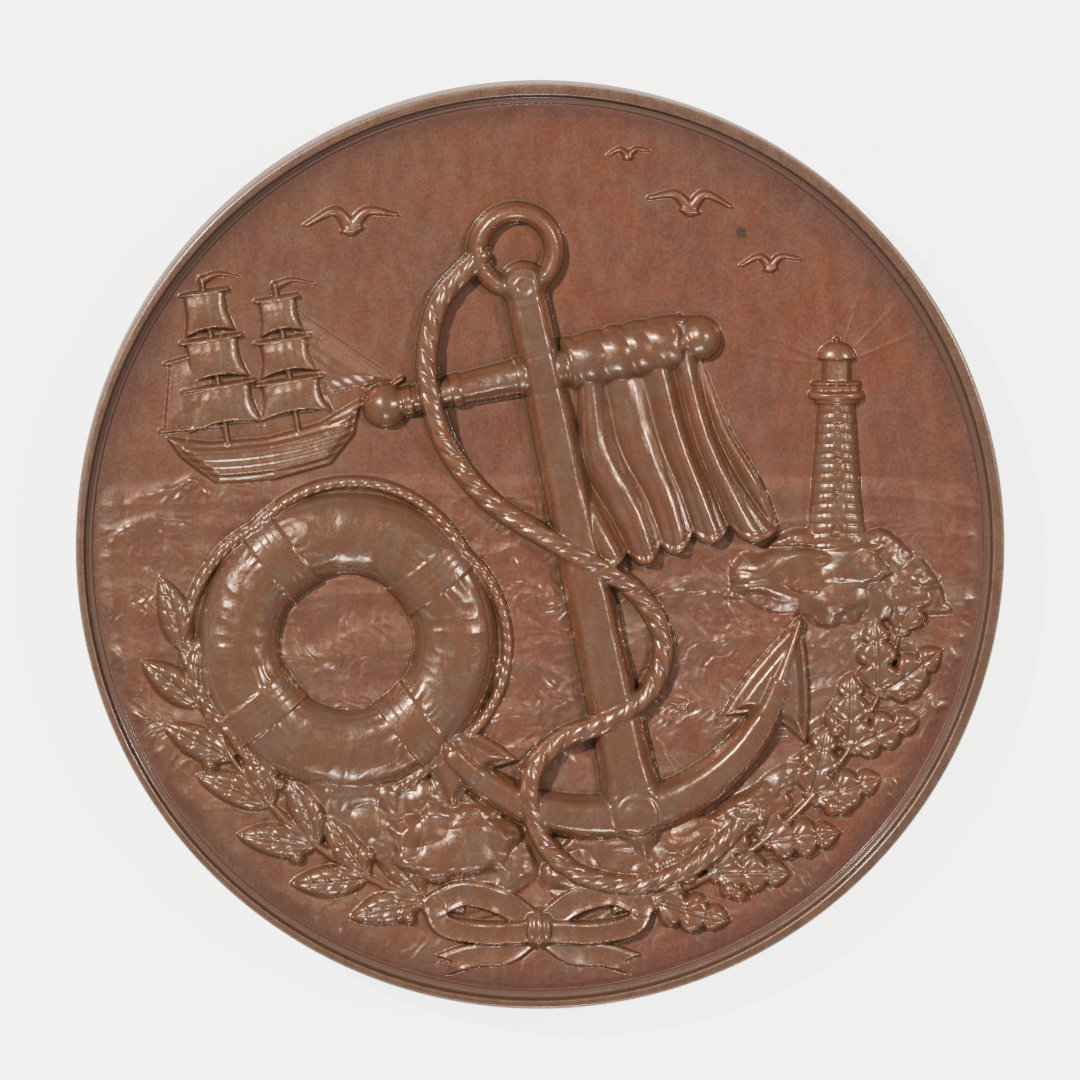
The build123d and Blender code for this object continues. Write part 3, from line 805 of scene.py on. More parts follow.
# %% The anchor's flukes, shank, arms and crown
def carve_fluke(side):
    angle = math.radians(ARM_HALF_ANGLE)
    centre = on_anchor(side * ARM_RADIUS * math.sin(angle), ARM_RADIUS * (1 - math.cos(angle)))
    heading = math.degrees(math.atan2(math.sin(angle), side * math.cos(angle))) + ANCHOR_LEAN
    place = window_round([centre], 5.5)
    ahead, off = turned(place, centre, heading)
    inner = inside_shape(ahead, off, [(a * FLUKE_LENGTH, b * FLUKE_WIDTH) for a, b in FLUKE])
    palm = crest(0.60) * (0.42 + 0.58 * ease(inner, -0.05, 0.9)) + 0.10 * ridge(inner - 0.16, 0.10)
    palm += 0.035 * layered_noise(ahead, off, 1.5, 303 + side, 3)
    rib_width = 0.95 * (1 - np.clip((ahead + 1.0) / 6.2, 0, 0.8))
    rib = (crest(0.80) - 0.10 * np.maximum(ahead, 0)) * oval(off, rib_width)
    cut_moat(place, -inner, 0.10)
    raise_within(place, inner > 0, np.maximum(palm, np.where(ahead > -3.0, rib, NOTHING)))


def carve_shank():
    place = window_round([on_anchor(0, 0), on_anchor(0, SHANK_LENGTH)], 3.5)
    off, up = turned(place, ANCHOR_CROWN, ANCHOR_LEAN)
    share = np.clip(up / SHANK_LENGTH, 0, 1)
    half = across(0.0625) * (1 - share) + across(0.044) * share + 0.5 * ridge(up, 1.8)
    within = (up > -0.8) & (up < SHANK_LENGTH + 0.4)
    cut_moat(place, np.where(within, np.abs(off) - half, FAR), 0.12)
    hammered = HAMMERED * layered_noise(off * 1.3, up, 2.0, 301, 3)
    raise_within(place, within, crest(0.88) * forged(off, half) + hammered)


def carve_arms():
    centre = on_anchor(0, ARM_RADIUS)
    place = window_round([centre], ARM_RADIUS + 2.5)
    off, up = turned(place, centre, ANCHOR_LEAN)
    turn = np.degrees(np.arctan2(off, -up))
    aside = np.hypot(off, up) - ARM_RADIUS
    half = across(0.056) * (1 - 0.42 * np.abs(turn) / ARM_HALF_ANGLE)
    within = np.abs(turn) < ARM_HALF_ANGLE + 2
    cut_moat(place, np.where(within, np.abs(aside) - half, FAR), 0.12)
    hammered = HAMMERED * layered_noise(off, up, 2.0, 302, 3)
    raise_within(place, within, crest(0.80) * forged(aside, half, 0.3) + hammered)


def carve_crown():
    """The crown's point and its round boss with a ring cut into it."""
    place = window_round([ANCHOR_CROWN], 4.0)
    off, up = turned(place, ANCHOR_CROWN, ANCHOR_LEAN)
    boss = np.hypot(off, up * 1.05)
    point = np.where(up < 0.4, np.abs(off) + np.abs(up + 0.3) * 0.8, FAR)
    raise_form(place, crest(0.74) * oval(point, 2.5))
    raise_form(place, crest(0.96) * oval(boss, across(0.076)))
    relief[place] -= 0.10 * ridge(boss - across(0.052), 0.13) * (boss < across(0.07))


def carve_anchor():
    carve_shank()
    carve_arms()
    carve_fluke(-1)
    carve_fluke(1)
    carve_crown()


# %% [markdown]
# The stock is the wooden crossbar. It has iron bands, a fine grain and a ball at each end.
# The ring goes through the eye at the top, so the eye is carved last, over the ring.

# %% Stock, eye and ring
IRON_BANDS = (0.13, 0.55, 0.86)
RING_HALF = 0.62


def carve_stock():
    place = window_round([on_anchor(-STOCK_HALF, STOCK_AT), on_anchor(STOCK_HALF, STOCK_AT)], 2.5)
    along, up = turned(place, on_anchor(0, STOCK_AT), ANCHOR_LEAN)
    share = np.abs(along) / STOCK_HALF
    half = across(0.042) * (1 - 0.36 * share)
    grain = 0.045 * noise(along * 0.12, up, 0.24, 311) + 0.020 * noise(along * 0.3, up, 0.12, 312)
    height = crest(0.76) * (1 - 0.16 * share)
    cut_moat(place, np.where(share < 1, np.abs(up) - half, FAR), 0.10)
    raise_within(place, share < 1, height * oval(up, half) + grain)
    for band in IRON_BANDS:
        near = np.abs(share - band) * STOCK_HALF
        iron = (height + 0.10) * oval(up, half + 0.10) * ease(0.34 - near, 0, 0.06)
        raise_within(place, near < 0.36, iron, CRISP)
    for side in (-1, 1):
        add_dome(on_anchor(side * STOCK_HALF, STOCK_AT), across(0.050), crest(0.74), 0.10)


def carve_ring():
    centre = on_anchor(0, SHANK_LENGTH + across(0.080))
    place = window_round([centre], 5)
    aside = np.hypot(grid_x[place] - centre[0], grid_y[place] - centre[1]) - across(0.086)
    cut_moat(place, np.abs(aside) - RING_HALF, 0.09)
    raise_form(place, crest(0.60) * oval(aside, RING_HALF))
    eye = on_anchor(0, SHANK_LENGTH)
    add_dome(eye, across(0.054), crest(0.92), 0.08)
    near = window_round([eye], 2)
    hole = np.hypot(grid_x[near] - eye[0], grid_y[near] - eye[1])
    relief[near] -= 0.16 * (1 - ease(hole, 0.35, 0.55))


print("stock", round(float(2 * STOCK_HALF), 2), "mm long")

# %% [markdown]
# ## Sailcloth
#
# Heavy wet cloth hung over a bar falls in round folds with sharp valleys. The folds start close
# together at the bar, swing with the wind, split and open towards the hem, and the hem runs in
# and out with them. So the height is a sharpened wave across the cloth, whose phase drifts
# on the way down.

# %% The cloth over the stock
CLOTH_LEFT = ((0.050, 0.440), (0.070, 0.33), (0.085, 0.20), (0.10, 0.08), (0.125, -0.03))
CLOTH_RIGHT = ((0.345, 0.50), (0.375, 0.40), (0.43, 0.27), (0.50, 0.15), (0.545, 0.04))


CLOTH_LENGTH, FOLD_COUNT = across(0.46), 4.6


def carve_folds():
    left, right = smooth_line(across(CLOTH_LEFT), 0.1), smooth_line(across(CLOTH_RIGHT), 0.1)
    place = window_round(np.vstack([left, right]), 1.2)
    x, y = grid_x[place], grid_y[place]
    left_x = np.interp(y, left[::-1, 1], left[::-1, 0])
    right_x = np.interp(y, right[::-1, 1], right[::-1, 0])
    share = (x - left_x) / (right_x - left_x)
    fall = (left[0, 1] + share * (right[0, 1] - left[0, 1]) - y) / CLOTH_LENGTH
    sway = 0.11 * np.sin(2.6 * fall + 0.8) * fall + 0.022 * noise(x, y, 4.0, 401)
    phase = (share + sway) * FOLD_COUNT + 0.22 * np.sin(fall * 4.1 + share * 5)
    fold = np.abs(np.cos(phase * np.pi)) ** (1.05 - 0.35 * ease(fall, 0, 1))
    second = np.abs(np.cos((phase * 2.07 + 0.3 + 0.5 * fall) * np.pi)) ** 0.8
    split = ease(fall, 0.35, 0.95)
    low_phase = (share + 0.11 * math.sin(3.4)) * FOLD_COUNT + 0.22 * np.sin(4.1 + share * 5)
    hem = 0.97 + 0.075 * np.abs(np.cos(low_phase * np.pi)) ** 0.7 + 0.03 * np.sin(share * 7)
    height = 0.26 + (0.86 + 0.18 * np.sin(share * 9 + 0.8)) * fold * (0.70 + 0.30 * fall)
    height += 0.20 * split * second
    drawn = np.abs(np.cos((phase * 5.3 + 1.2 * fall + 0.4 * noise(x, y, 1.2, 405)) * np.pi))
    height += 0.025 * drawn * (0.4 + 0.6 * fall) + 0.02 * noise(x, y, 1.4, 404)
    edge_gap = np.minimum(share, 1 - share) * (right_x - left_x)
    height *= 0.55 + 0.45 * ease(edge_gap, 0, 0.55)
    seam_gap = (hem - fall) * CLOTH_LENGTH
    height += 0.07 * ridge(seam_gap - 0.32, 0.10) - 0.05 * ridge(seam_gap - 0.58, 0.07)
    within = (share > 0) & (share < 1) & (fall < hem) & (fall > -0.05)
    cut_moat(place, np.where(fall > 0, np.maximum(-edge_gap, -seam_gap), FAR), 0.09)
    raise_within(place, within, height, 0.04)


print("cloth", round(float(CLOTH_LENGTH), 2), "mm long")

# %% The roll of cloth over the stock
def carve_roll():
    start, end = on_anchor(across(0.055), STOCK_AT), on_anchor(across(0.325), STOCK_AT)
    place = window_round([start, end], 2.6)
    along, up = turned(place, start, ANCHOR_LEAN)
    up = up - 0.1
    span = math.hypot(end[0] - start[0], end[1] - start[1])
    wrap = along / span + 0.05 * noise(along, up + 0.1, 1.4, 411)
    swell = 0.10 * np.abs(np.cos(wrap * FOLD_COUNT * np.pi))
    half = across(0.058) * (1 + swell + 0.05 * noise(along, 0 * along, 1.0, 412))
    past_end = np.maximum(np.abs(along / span - 0.5) * 2 - 0.90, 0)
    ends = np.sqrt(np.clip(1 - past_end / 0.16, 0, 1))
    lean = 0.10 * (up + 0.1) / half
    folds = 0.16 * np.abs(np.cos((wrap + lean) * FOLD_COUNT * np.pi)) - 0.05
    roll = (crest(0.80) + folds) * oval(up, half) * ends
    within = (along > -0.25) & (along < span + 0.25) & (np.abs(up) < half)
    over = (up > -0.1) & (along > 0) & (along < span)
    cut_moat(place, np.where(over, np.abs(up) - half, FAR), 0.08)
    raise_within(place, within, roll, 0.04)


# %% [markdown]
# ## Lifebuoy
#
# A fat ring of canvas over cork, the highest round form. Four bands go round it, each with two
# rows of stitches, and a grab line is caught under the bands and hangs a little slack between them.

# %% The lifebuoy's sizes and a twisted rope
BUOY = (across(-0.43), across(-0.21))
BUOY_RADIUS, BUOY_HALF = across(0.245), across(0.0925)
BAND_TURN, BAND_ANGLE = 38.0, 18.0


def carve_twist(line, radius, lead, strands, depth):
    """A twisted rope along a line that carries the height of the rope's middle."""
    place, run, aside, (middle,), _ = along_line(line, radius * 1.3)
    across_rope = np.clip(aside / radius, -1, 1)
    turn = strands * (np.arcsin(across_rope) - 2 * np.pi * run / lead)
    strand = 1 - depth + depth * np.abs(np.cos(turn / 2)) ** 0.7
    fibre = 0.014 * np.cos(turn * 3.5)
    form = middle + radius * strand * np.sqrt(1 - across_rope**2) + fibre
    return place, np.where(np.abs(aside) < radius, form, NOTHING), aside


print("lifebuoy", round(float(2 * (BUOY_RADIUS + BUOY_HALF)), 2), "mm across")

# %% The canvas, the bands and the grab line
def carve_canvas(place, turn, aside, beyond):
    """The ring itself, gathered in creases where the bands hold it."""
    sag = 0.075 * layered_noise(grid_x[place] - BUOY[0], grid_y[place] - BUOY[1], 3.4, 501, 2)
    cut_moat(place, np.abs(aside) - BUOY_HALF, 0.14)
    gather = np.abs(np.cos((aside / 0.82 + 0.9 * noise(aside, turn * 0.05, 1.1, 503)) * np.pi))
    reach = 0.9 + 0.7 * noise(aside, turn * 0.1, 0.8, 504)
    creases = 0.17 * (gather**1.6 - 0.5) * np.exp(-beyond / reach)
    slack = np.abs(noise(turn * 0.22 + aside * 0.35, aside, 1.5, 505)) * ease(beyond, 0.4, 1.6)
    raise_form(place, (crest(0.92) + sag + creases - 0.10 * slack) * oval(aside, BUOY_HALF))
    seam = ridge(np.abs(aside) - BUOY_HALF * 0.80, 0.05)
    relief[place] -= 0.06 * seam * (np.abs(aside) < BUOY_HALF)


def carve_bands(place, aside, from_middle, half_band):
    stitch = ridge(from_middle - half_band + 0.28, 0.05) * (np.cos(aside * 2 * np.pi / 0.30) > -0.2)
    wrap = crest(0.92) * oval(aside, BUOY_HALF + 0.13) + 0.13 * ease(half_band - from_middle, 0, 0.09)
    wrap += 0.02 * np.cos(from_middle * 2 * np.pi / 0.45) * (from_middle < half_band - 0.45)
    within = (from_middle < half_band) & (np.abs(aside) < BUOY_HALF + 0.13)
    raise_within(place, within, wrap - 0.05 * stitch, CRISP)


def carve_grab_line():
    for quarter in range(4):
        points = []
        for share in np.arange(13) / 12:
            slack = math.sin(share * math.pi)
            out = BUOY_RADIUS + BUOY_HALF * (0.93 + 0.33 * slack)
            spot = toward(*BUOY, BAND_TURN + 90 * quarter + 90 * share, out)
            points.append((*spot, crest(0.42) - 0.62 * slack))
        place, form, _ = carve_twist(smooth_line(points), 0.36, 1.5, 2, 0.3)
        raise_form(place, form, CRISP)


def carve_lifebuoy():
    place = window_round([BUOY], BUOY_RADIUS + BUOY_HALF + 2.2)
    off_x, off_y = grid_x[place] - BUOY[0], grid_y[place] - BUOY[1]
    turn, radius = np.degrees(np.arctan2(off_y, off_x)), np.hypot(off_x, off_y)
    band_gap = (turn - BAND_TURN + 45) % 90 - 45
    from_middle = np.radians(np.abs(band_gap)) * radius
    half_band = BAND_ANGLE / 360 * np.pi * BUOY_RADIUS * 1.05
    carve_canvas(place, turn, radius - BUOY_RADIUS, np.maximum(from_middle - half_band, 0))
    carve_bands(place, radius - BUOY_RADIUS, from_middle, half_band)
    carve_grab_line()


# %% [markdown]
# ## The rope
#
# The rope is three strands laid together. Seen from above, each strand shows as a slanting
# sausage, so the radius is made to swell and shrink with the angle round the rope and the
# distance along it. It rises where it crosses the anchor, as a real rope would.

# %% The rope that fouls the anchor
ROPE_RADIUS = 0.625
ROPE_ROUTE = (
    # x, y and the height of the rope's middle, all in shares
    (-0.13, 0.66, 0.30), (-0.22, 0.56, 0.34), (-0.25, 0.44, 0.44), (-0.24, 0.33, 0.76),
    (-0.20, 0.22, 0.44), (-0.10, 0.10, 0.40), (0.08, -0.01, 0.78), (0.22, -0.10, 0.42),
    (0.28, -0.21, 0.34), (0.25, -0.32, 0.42), (0.15, -0.39, 0.78), (0.04, -0.44, 0.44),
    (-0.02, -0.52, 0.74), (0.0, -0.64, 0.46), (0.08, -0.73, 0.38), (0.22, -0.76, 0.36),
    (0.36, -0.71, 0.36), (0.47, -0.61, 0.34),
)
FRAYED_STRANDS, STRAND_HALF = 9, 0.13


def carve_rope():
    points = [(across(x), across(y), crest(lift)) for x, y, lift in ROPE_ROUTE]
    place, form, aside = carve_twist(smooth_line(points), ROPE_RADIUS, 3.9, 3, 0.34)
    cut_moat(place, np.abs(aside) - ROPE_RADIUS, 0.08, 0.14)
    raise_form(place, form, 0.03)
    end_x, end_y, _ = points[-1]
    draw = np.random.default_rng(521)
    for _ in range(FRAYED_STRANDS):
        heading = 42 + draw.uniform(-38, 38)
        length = draw.uniform(0.9, 1.7)
        bend = math.degrees(draw.uniform(-0.5, 0.5))
        middle = (*toward(end_x, end_y, heading, 0.5 * length), 0.85)
        tip = (*toward(end_x, end_y, heading + bend, length), 0.55)
        strand = smooth_line([(end_x, end_y, 0.95), middle, tip])
        near, _, gap, (lift,), _ = along_line(strand, 0.3)
        form = lift + 0.12 * oval(gap, STRAND_HALF)
        raise_within(near, np.abs(gap) < STRAND_HALF, form, CRISP)


print("rope", 2 * ROPE_RADIUS, "mm thick")

# %% [markdown]
# ## Laurel and oak
#
# Both sprays are made alike: a stem on a circle, and leaves in pairs. A laurel leaf is a plain
# pointed oval, an oak leaf has round lobes. Veins are fine grooves, and the leaf lifts towards
# its middle and dips at its tip, so that each one catches the light differently.

# %% Leaves
SPRAY_RADIUS = across(0.835)
LEAF_LENGTH, LEAF_WIDTH = 5.2, 2.1


def carve_leaf(x, y, heading, length, width, height, lobes, seed):
    place = window_round([toward(x, y, heading, length / 2)], length * 0.6)
    along, off = turned(place, (x, y), heading)
    draw = np.random.default_rng(seed)
    curl = draw.uniform(-0.28, 0.28)
    share = np.clip(along / length, 0, 1)
    off = off - curl * np.sin(share * np.pi) * 0.8
    half = width / 2 * np.sin(share**0.85 * np.pi) ** 0.75
    if lobes:
        bulge = np.abs(np.sin((share * (lobes + 0.5) - 0.35) * np.pi)) ** 0.55
        half = width / 2 * 1.30 * np.sin(share**0.72 * np.pi) ** 0.55 * (0.52 + 0.48 * bulge)
    gap = np.maximum(half, 0.07) - np.abs(off)
    on_leaf = (along > 0) & (along < length)
    lift = height * (0.62 + 0.38 * np.sin(share * np.pi * 0.9 + 0.25))
    tilt = draw.uniform(-0.16, 0.16) * off
    dome = 0.24 * (ease(gap, 0, 0.60) - 0.35 * ridge(off, 0.30))
    rib = -0.13 * ridge(off, 0.08) * (share < 0.93)
    vein_count, vein_start = (lobes + 0.5, 0.15) if lobes else (5.0, 0)
    slant = share * vein_count - np.abs(off) / width * 1.2 + vein_start
    veins = -0.08 * ridge(slant % 1 - 0.5, 0.10) * ease(gap, 0.05, 0.3)
    edge = -0.275 * height * ridge(gap, 0.13)
    cut_moat(place, np.where(on_leaf, -gap, FAR), 0.05, 0.12)
    raise_within(place, (gap > 0) & on_leaf, lift + tilt + dome + rib + veins + edge - 0.18, 0.03)


def carve_acorn(x, y, heading):
    place = window_round([(x, y)], 2)
    along, off = turned(place, (x, y), heading)
    nut = np.hypot((along - 0.45) / 0.85, off / 0.55)
    raise_form(place, 0.95 * oval(nut, 1.0) + 0.05, 0.03)
    cup = np.hypot((along + 0.05) / 0.55, off / 0.66)
    scales = np.sin((along + off) * 2 * np.pi / 0.30) * np.sin((along - off) * 2 * np.pi / 0.30)
    raise_within(place, along < 0.30, 1.08 * oval(cup, 1.0) + 0.05 * scales, CRISP)
    raise_form(place, 0.5 * oval(np.hypot(along - 1.30, off), 0.14), CRISP)


print("sprays on a circle of", round(float(SPRAY_RADIUS), 2), "mm")

# %% The two sprays
def carve_spray_of_leaves(start, sweep, pairs, spread, lobes, seed):
    turn = math.copysign(1, sweep)
    stem = [toward(0, 0, start + sweep * step / 40, SPRAY_RADIUS) for step in range(41)]
    place, run, aside, _, total = along_line(smooth_line(stem), 1.2)
    raise_form(place, 0.66 * oval(aside, 0.36 * (1 - 0.5 * run / total)), 0.03)
    draw = np.random.default_rng(seed)
    for step in range(pairs + 1):
        angle = start + sweep * (step + 0.6) / (pairs + 0.6)
        x, y = toward(0, 0, angle, SPRAY_RADIUS)
        forward = angle + 90 * turn
        for side in (0,) if step == pairs else (-1, 1):
            heading = forward + side * (spread + draw.uniform(-4, 4))
            height = 0.80 + draw.uniform(-0.08, 0.12)
            length = LEAF_LENGTH * draw.uniform(0.94, 1.02)
            carve_leaf(x, y, heading, length, LEAF_WIDTH, height, lobes, seed + 7 * step + side)
            if side and step % 2 == (0 if side > 0 else 1):
                fruit = toward(x, y, forward + side * 62, 1.5)
                if lobes:
                    carve_acorn(*fruit, forward + side * 55)
                else:
                    add_dome(fruit, 0.50, 0.95, 0.04)


def carve_sprays():
    carve_spray_of_leaves(258.0, -62.0, 6, 27.0, 0, 601)
    carve_spray_of_leaves(282.0, 64.0, 6, 30.0, 3, 701)


# %% [markdown]
# ## Ribbon
#
# The sprays are tied with a ribbon: a knot, two loops and two tails with forked ends.
# A ribbon is a strip that keeps its width, so it is carved along a line, hollow across its
# width with a fine hem at both edges.

# %% The ribbon at the foot
def carve_strip(points, width, heights, seed):
    """A ribbon along a line of shares, with its height at each point."""
    line = smooth_line([(across(x), across(y), h) for (x, y), h in zip(points, heights)])
    place, run, aside, (middle,), total = along_line(line, width)
    share = np.abs(aside) / (width / 2)
    ripple = 0.06 * noise(run, aside * 0.3, 0.9, seed)
    body = middle - 0.10 * (1 - share**2) + 0.07 * ridge(share - 0.86, 0.08) + ripple
    fork = (total - run) > 0.9 * (1 - share)
    cut_moat(place, np.where(share < 2, (share - 1) * width / 2, FAR), 0.04, 0.1)
    raise_within(place, (share < 1) & (fork | (heights[-1] > 0.5)), body, CRISP)


# Each strip: its line of shares for the right side, width, heights and seed.
STRIPS = (
    (((0.01, -0.868), (0.075, -0.915), (0.15, -0.920), (0.225, -0.945)),
     1.45, (0.5, 0.46, 0.56, 0.36), 801),
    (((0.012, -0.852), (0.08, -0.800), (0.17, -0.778), (0.235, -0.806)),
     1.6, (0.70, 0.82, 0.92, 0.70), 811),
    (((0.235, -0.806), (0.215, -0.850), (0.13, -0.868), (0.02, -0.866)),
     1.35, (0.70, 0.88, 1.00, 0.92), 821),
)


def carve_ribbon():
    for side in (-1, 1):
        for line, width, heights, seed in STRIPS:
            carve_strip([(side * x, y) for x, y in line], width, heights, seed + side)
    place = window_round([(0, across(-0.86))], 2)
    off_x, off_y = grid_x[place], grid_y[place] - across(-0.858)
    knot = np.hypot(off_x / 1.12, off_y / 1.34)
    folds = 0.07 * np.cos(off_x * 2 * np.pi / 0.62)
    raise_within(place, knot < 1, 1.34 * oval(knot, 1.0) + folds * (knot < 0.9), 0.03)


print(2 * len(STRIPS), "strips of ribbon")

# %% [markdown]
# ## Striking
#
# The far forms are carved first and the near ones over them. Then the whole picture is softened a
# little, as polishing and handling soften a struck medal, and its high places most.

# %% Carve everything, from far to near
def carve_all():
    carve_beams()
    carve_sea()
    carve_gulls()
    carve_waves()
    carve_ship()
    carve_rocks(LIGHT_ROCK)
    carve_spray((across(0.47), across(-0.12)), 1.0, 3.2, 901)
    carve_spray((across(0.86), across(-0.14)), 0.8, 2.2, 902, 40)
    carve_lighthouse()
    carve_rocks(SHORE)
    carve_sprays()
    carve_ribbon()
    carve_anchor()
    carve_stock()
    carve_folds()
    carve_roll()
    carve_ring()
    carve_lifebuoy()
    carve_rope()


POLISH, HANDLING, GRAIN_HEIGHT = 0.052, 0.06, 0.010
WORN_FROM, PRESSED_DOWN = 1.6, 0.72  # the highest places are pressed down from this height up

carve_all()
relief = soften(relief, POLISH)
handled = 0.6 * ease(relief, 0.9, WORN_FROM)
relief = relief * (1 - handled) + soften(relief, HANDLING) * handled
relief += GRAIN_HEIGHT * layered_noise(grid_x, grid_y, 0.55, 951, 3) * ease(relief, 0.10, 0.45)
relief = np.where(relief > WORN_FROM, WORN_FROM + PRESSED_DOWN * (relief - WORN_FROM), relief)
print("relief from", round(relief.min(), 2), "to", round(relief.max(), 2), "mm")

# %% [markdown]
# ## Maps for the finish
#
# A patina is not even. It stays dark and matt in the hollows, and it is rubbed thin and bright on
# the high places. Both can be read from the heights: a point that is lower than the ground
# about it is in a hollow, and one that is higher is a crest. The dark of the hollows is partly
# that patina and partly painted shade: its wide part lays a soft dark halo round the raised
# forms, where shade would fall.

# %% Hollow, crest and height maps
CLOSE, WIDE = 0.13, 0.50


def soften_wide(heights, spread):
    """A wide blur, made on every second point to save time."""
    return soften(heights[::2, ::2], spread / 2).repeat(2, axis=0).repeat(2, axis=1)[:GRID, :GRID]


above_close = relief - soften(relief, CLOSE)
above_wide = relief - soften_wide(relief, WIDE)
# Partly patina, partly painted shade: the close part darkens creases, the wide part paints a soft
# shade round raised forms.
hollow_map = 0.50 * np.clip(-above_close / 0.14, 0, 1) + 0.45 * np.clip(-above_wide / 0.50, 0, 1)
crest_map = 0.55 * np.clip(above_close / 0.07, 0, 1) + 0.50 * np.clip(above_wide / 0.50, 0, 1)
height_map = np.clip(relief / RELIEF_HEIGHT, 0, 1)
print("hollows", round(float(hollow_map.mean()), 3), "crests", round(float(crest_map.mean()), 3))


def sample(heights, x, y):
    """The value of a map at places between the grid's points."""
    column = np.clip((x - ticks[0]) / CELL, 0, GRID - 1.001)
    row = np.clip((y - ticks[0]) / CELL, 0, GRID - 1.001)
    c, r = column.astype(int), row.astype(int)
    c_share, r_share = column - c, row - r
    low = heights[r, c] * (1 - c_share) + heights[r, c + 1] * c_share
    high = heights[r + 1, c] * (1 - c_share) + heights[r + 1, c + 1] * c_share
    return low * (1 - r_share) + high * r_share


# %% [markdown]
# ## The blank
#
# The blank is a disc with a rim. Its section is a list of rings, from the field's edge out over
# the cove and the rim, down the edge and in over the back.
# On the real medal the collar was not quite true to the die, so the rim is a little wider on
# one side. Everything inside the rim's land is shifted to show that.

# %% The rings of the blank
STRIKE_SHIFT = (-0.12, -0.07)
EDGE_ROUND = 0.25
BACK_LAND, BACK_SLOPE, BACK_RECESS, BACK_DISH = 1.1, 0.5, 0.8, 0.1


def arc_rings(centre_r, centre_z, radius_r, radius_z, start, end, count):
    """Rings on an oval arc of the section, without its first point."""
    angles = np.radians(np.linspace(start, end, count + 1)[1:])
    return [(centre_r + radius_r * math.cos(a), centre_z + radius_z * math.sin(a)) for a in angles]


def blank_rings():
    cove_low, cove_high = FIELD_RIM_LEVEL + FIELD_STEP, RIM_TOP - RIM_WALL
    land_edge, back_edge = MEDAL_RADIUS - RIM_LAND, MEDAL_RADIUS - BACK_LAND
    back_field = back_edge - BACK_SLOPE
    rings = [(FIELD_RADIUS + 0.03, FIELD_RIM_LEVEL + 0.02), (FIELD_RADIUS + 0.06, cove_low - 0.02)]
    rings += [(FIELD_RADIUS + 0.11, cove_low + 0.03)]
    cove = (COVE_WIDTH - 0.13, COVE_DEPTH - 0.03)
    rings += arc_rings(FIELD_RADIUS + 0.11, cove_high, *cove, -90, -2, 10)
    rings += [(COVE_RADIUS + 0.01, cove_high + 0.02), (COVE_RADIUS + 0.03, cove_high + 0.10)]
    rings += [(land_edge - 0.06, RIM_TOP - 0.20)]
    rings += arc_rings(land_edge + 0.08, RIM_TOP - 0.14, 0.13, 0.14, 178, 92, 6)
    corner = MEDAL_RADIUS - EDGE_ROUND
    rings += [(land_edge + 0.14, RIM_TOP + 0.002), ((land_edge + corner) / 2, RIM_TOP)]
    rings += [(corner - 0.02, RIM_TOP - 0.002)]
    rings += arc_rings(corner, RIM_TOP - EDGE_ROUND, EDGE_ROUND, EDGE_ROUND, 90, 0, 7)
    rings += [(MEDAL_RADIUS, RIM_TOP * share) for share in (0.8, 0.6, 0.4, 0.2)]
    rings += [(MEDAL_RADIUS, EDGE_ROUND)]
    rings += arc_rings(corner, EDGE_ROUND, EDGE_ROUND, EDGE_ROUND, 0, -90, 7)
    rings += [(back_edge + 0.12, 0.0)]
    rings += arc_rings(back_edge + 0.10, 0.10, 0.10, 0.10, -90, -165, 4)
    rings += [(back_field + 0.08, BACK_RECESS - 0.08), (back_field - 0.06, BACK_RECESS)]
    for share in (0.9, 0.75, 0.6, 0.45, 0.3, 0.15):
        rings.append((back_field * share, BACK_RECESS + BACK_DISH * (1 - share * share)))
    return rings


rings = blank_rings()
print("blank of", len(rings), "rings")

# %% [markdown]
# ## One watertight mesh
#
# A square net of points is pressed into a round one, so that the net has about the same fineness
# all over and its border is an even circle. The heights lift it, and the rings of the blank are
# sewn on to that border, so that the whole medal is one closed skin, as the real one is one piece.

# %% The net of points
NET = 1000
FIELD_FADE = 1.1  # the relief fades out over this width at the field's edge
RIM_WEAR = 0.012  # how much the rim's top is worn down in places
TO_METRES = 0.001


def round_net(count):
    """A square net pressed into a unit circle without much stretching."""
    side = np.linspace(-1, 1, count + 1)
    a, b = np.meshgrid(side, side)
    wide = np.abs(a) > np.abs(b)
    reach = np.where(wide, a, b)
    ratio = np.where(wide, b / np.where(a == 0, 1, a), a / np.where(b == 0, 1, b))
    turn = np.where(wide, ratio * np.pi / 4, np.pi / 2 - ratio * np.pi / 4)
    return reach * np.cos(turn), reach * np.sin(turn)


def net_border(count):
    """Numbers of the net's border points, once round, anticlockwise."""
    edge = np.arange(count)
    width = count + 1
    bottom, right = edge, edge * width + count
    top, left = count * width + count - edge, (count - edge) * width
    return np.concatenate([bottom, right, top, left])

# %% The points and the faces of the whole skin
def medal_points():
    net_x, net_y = round_net(NET)
    net_x, net_y = (net_x * FIELD_RADIUS).ravel(), (net_y * FIELD_RADIUS).ravel()
    radius = np.hypot(net_x, net_y)
    border = net_border(NET)
    lifted = sample(relief, net_x, net_y) * ease(FIELD_RADIUS - radius, 0.0, FIELD_FADE)
    net_z = FIELD_LEVEL + FIELD_DISH * (radius / FIELD_RADIUS) ** 2 + lifted
    points = [np.column_stack([net_x + STRIKE_SHIFT[0], net_y + STRIKE_SHIFT[1], net_z])]
    border_x, border_y = net_x[border] / FIELD_RADIUS, net_y[border] / FIELD_RADIUS
    struck = True
    for ring_radius, ring_z in rings:
        struck = struck and ring_radius < MEDAL_RADIUS - RIM_LAND + 0.2
        shift = STRIKE_SHIFT if struck else (0, 0)
        ring_x, ring_y = border_x * ring_radius, border_y * ring_radius
        level = np.full(ring_x.shape, ring_z)
        if ring_z > RIM_TOP - 0.3:
            level -= np.abs(RIM_WEAR * noise(ring_x, ring_y, 4.0, 41))
        points.append(np.column_stack([ring_x + shift[0], ring_y + shift[1], level]))
    points.append([[0.0, 0.0, BACK_RECESS + BACK_DISH]])
    return np.vstack(points) * TO_METRES, border


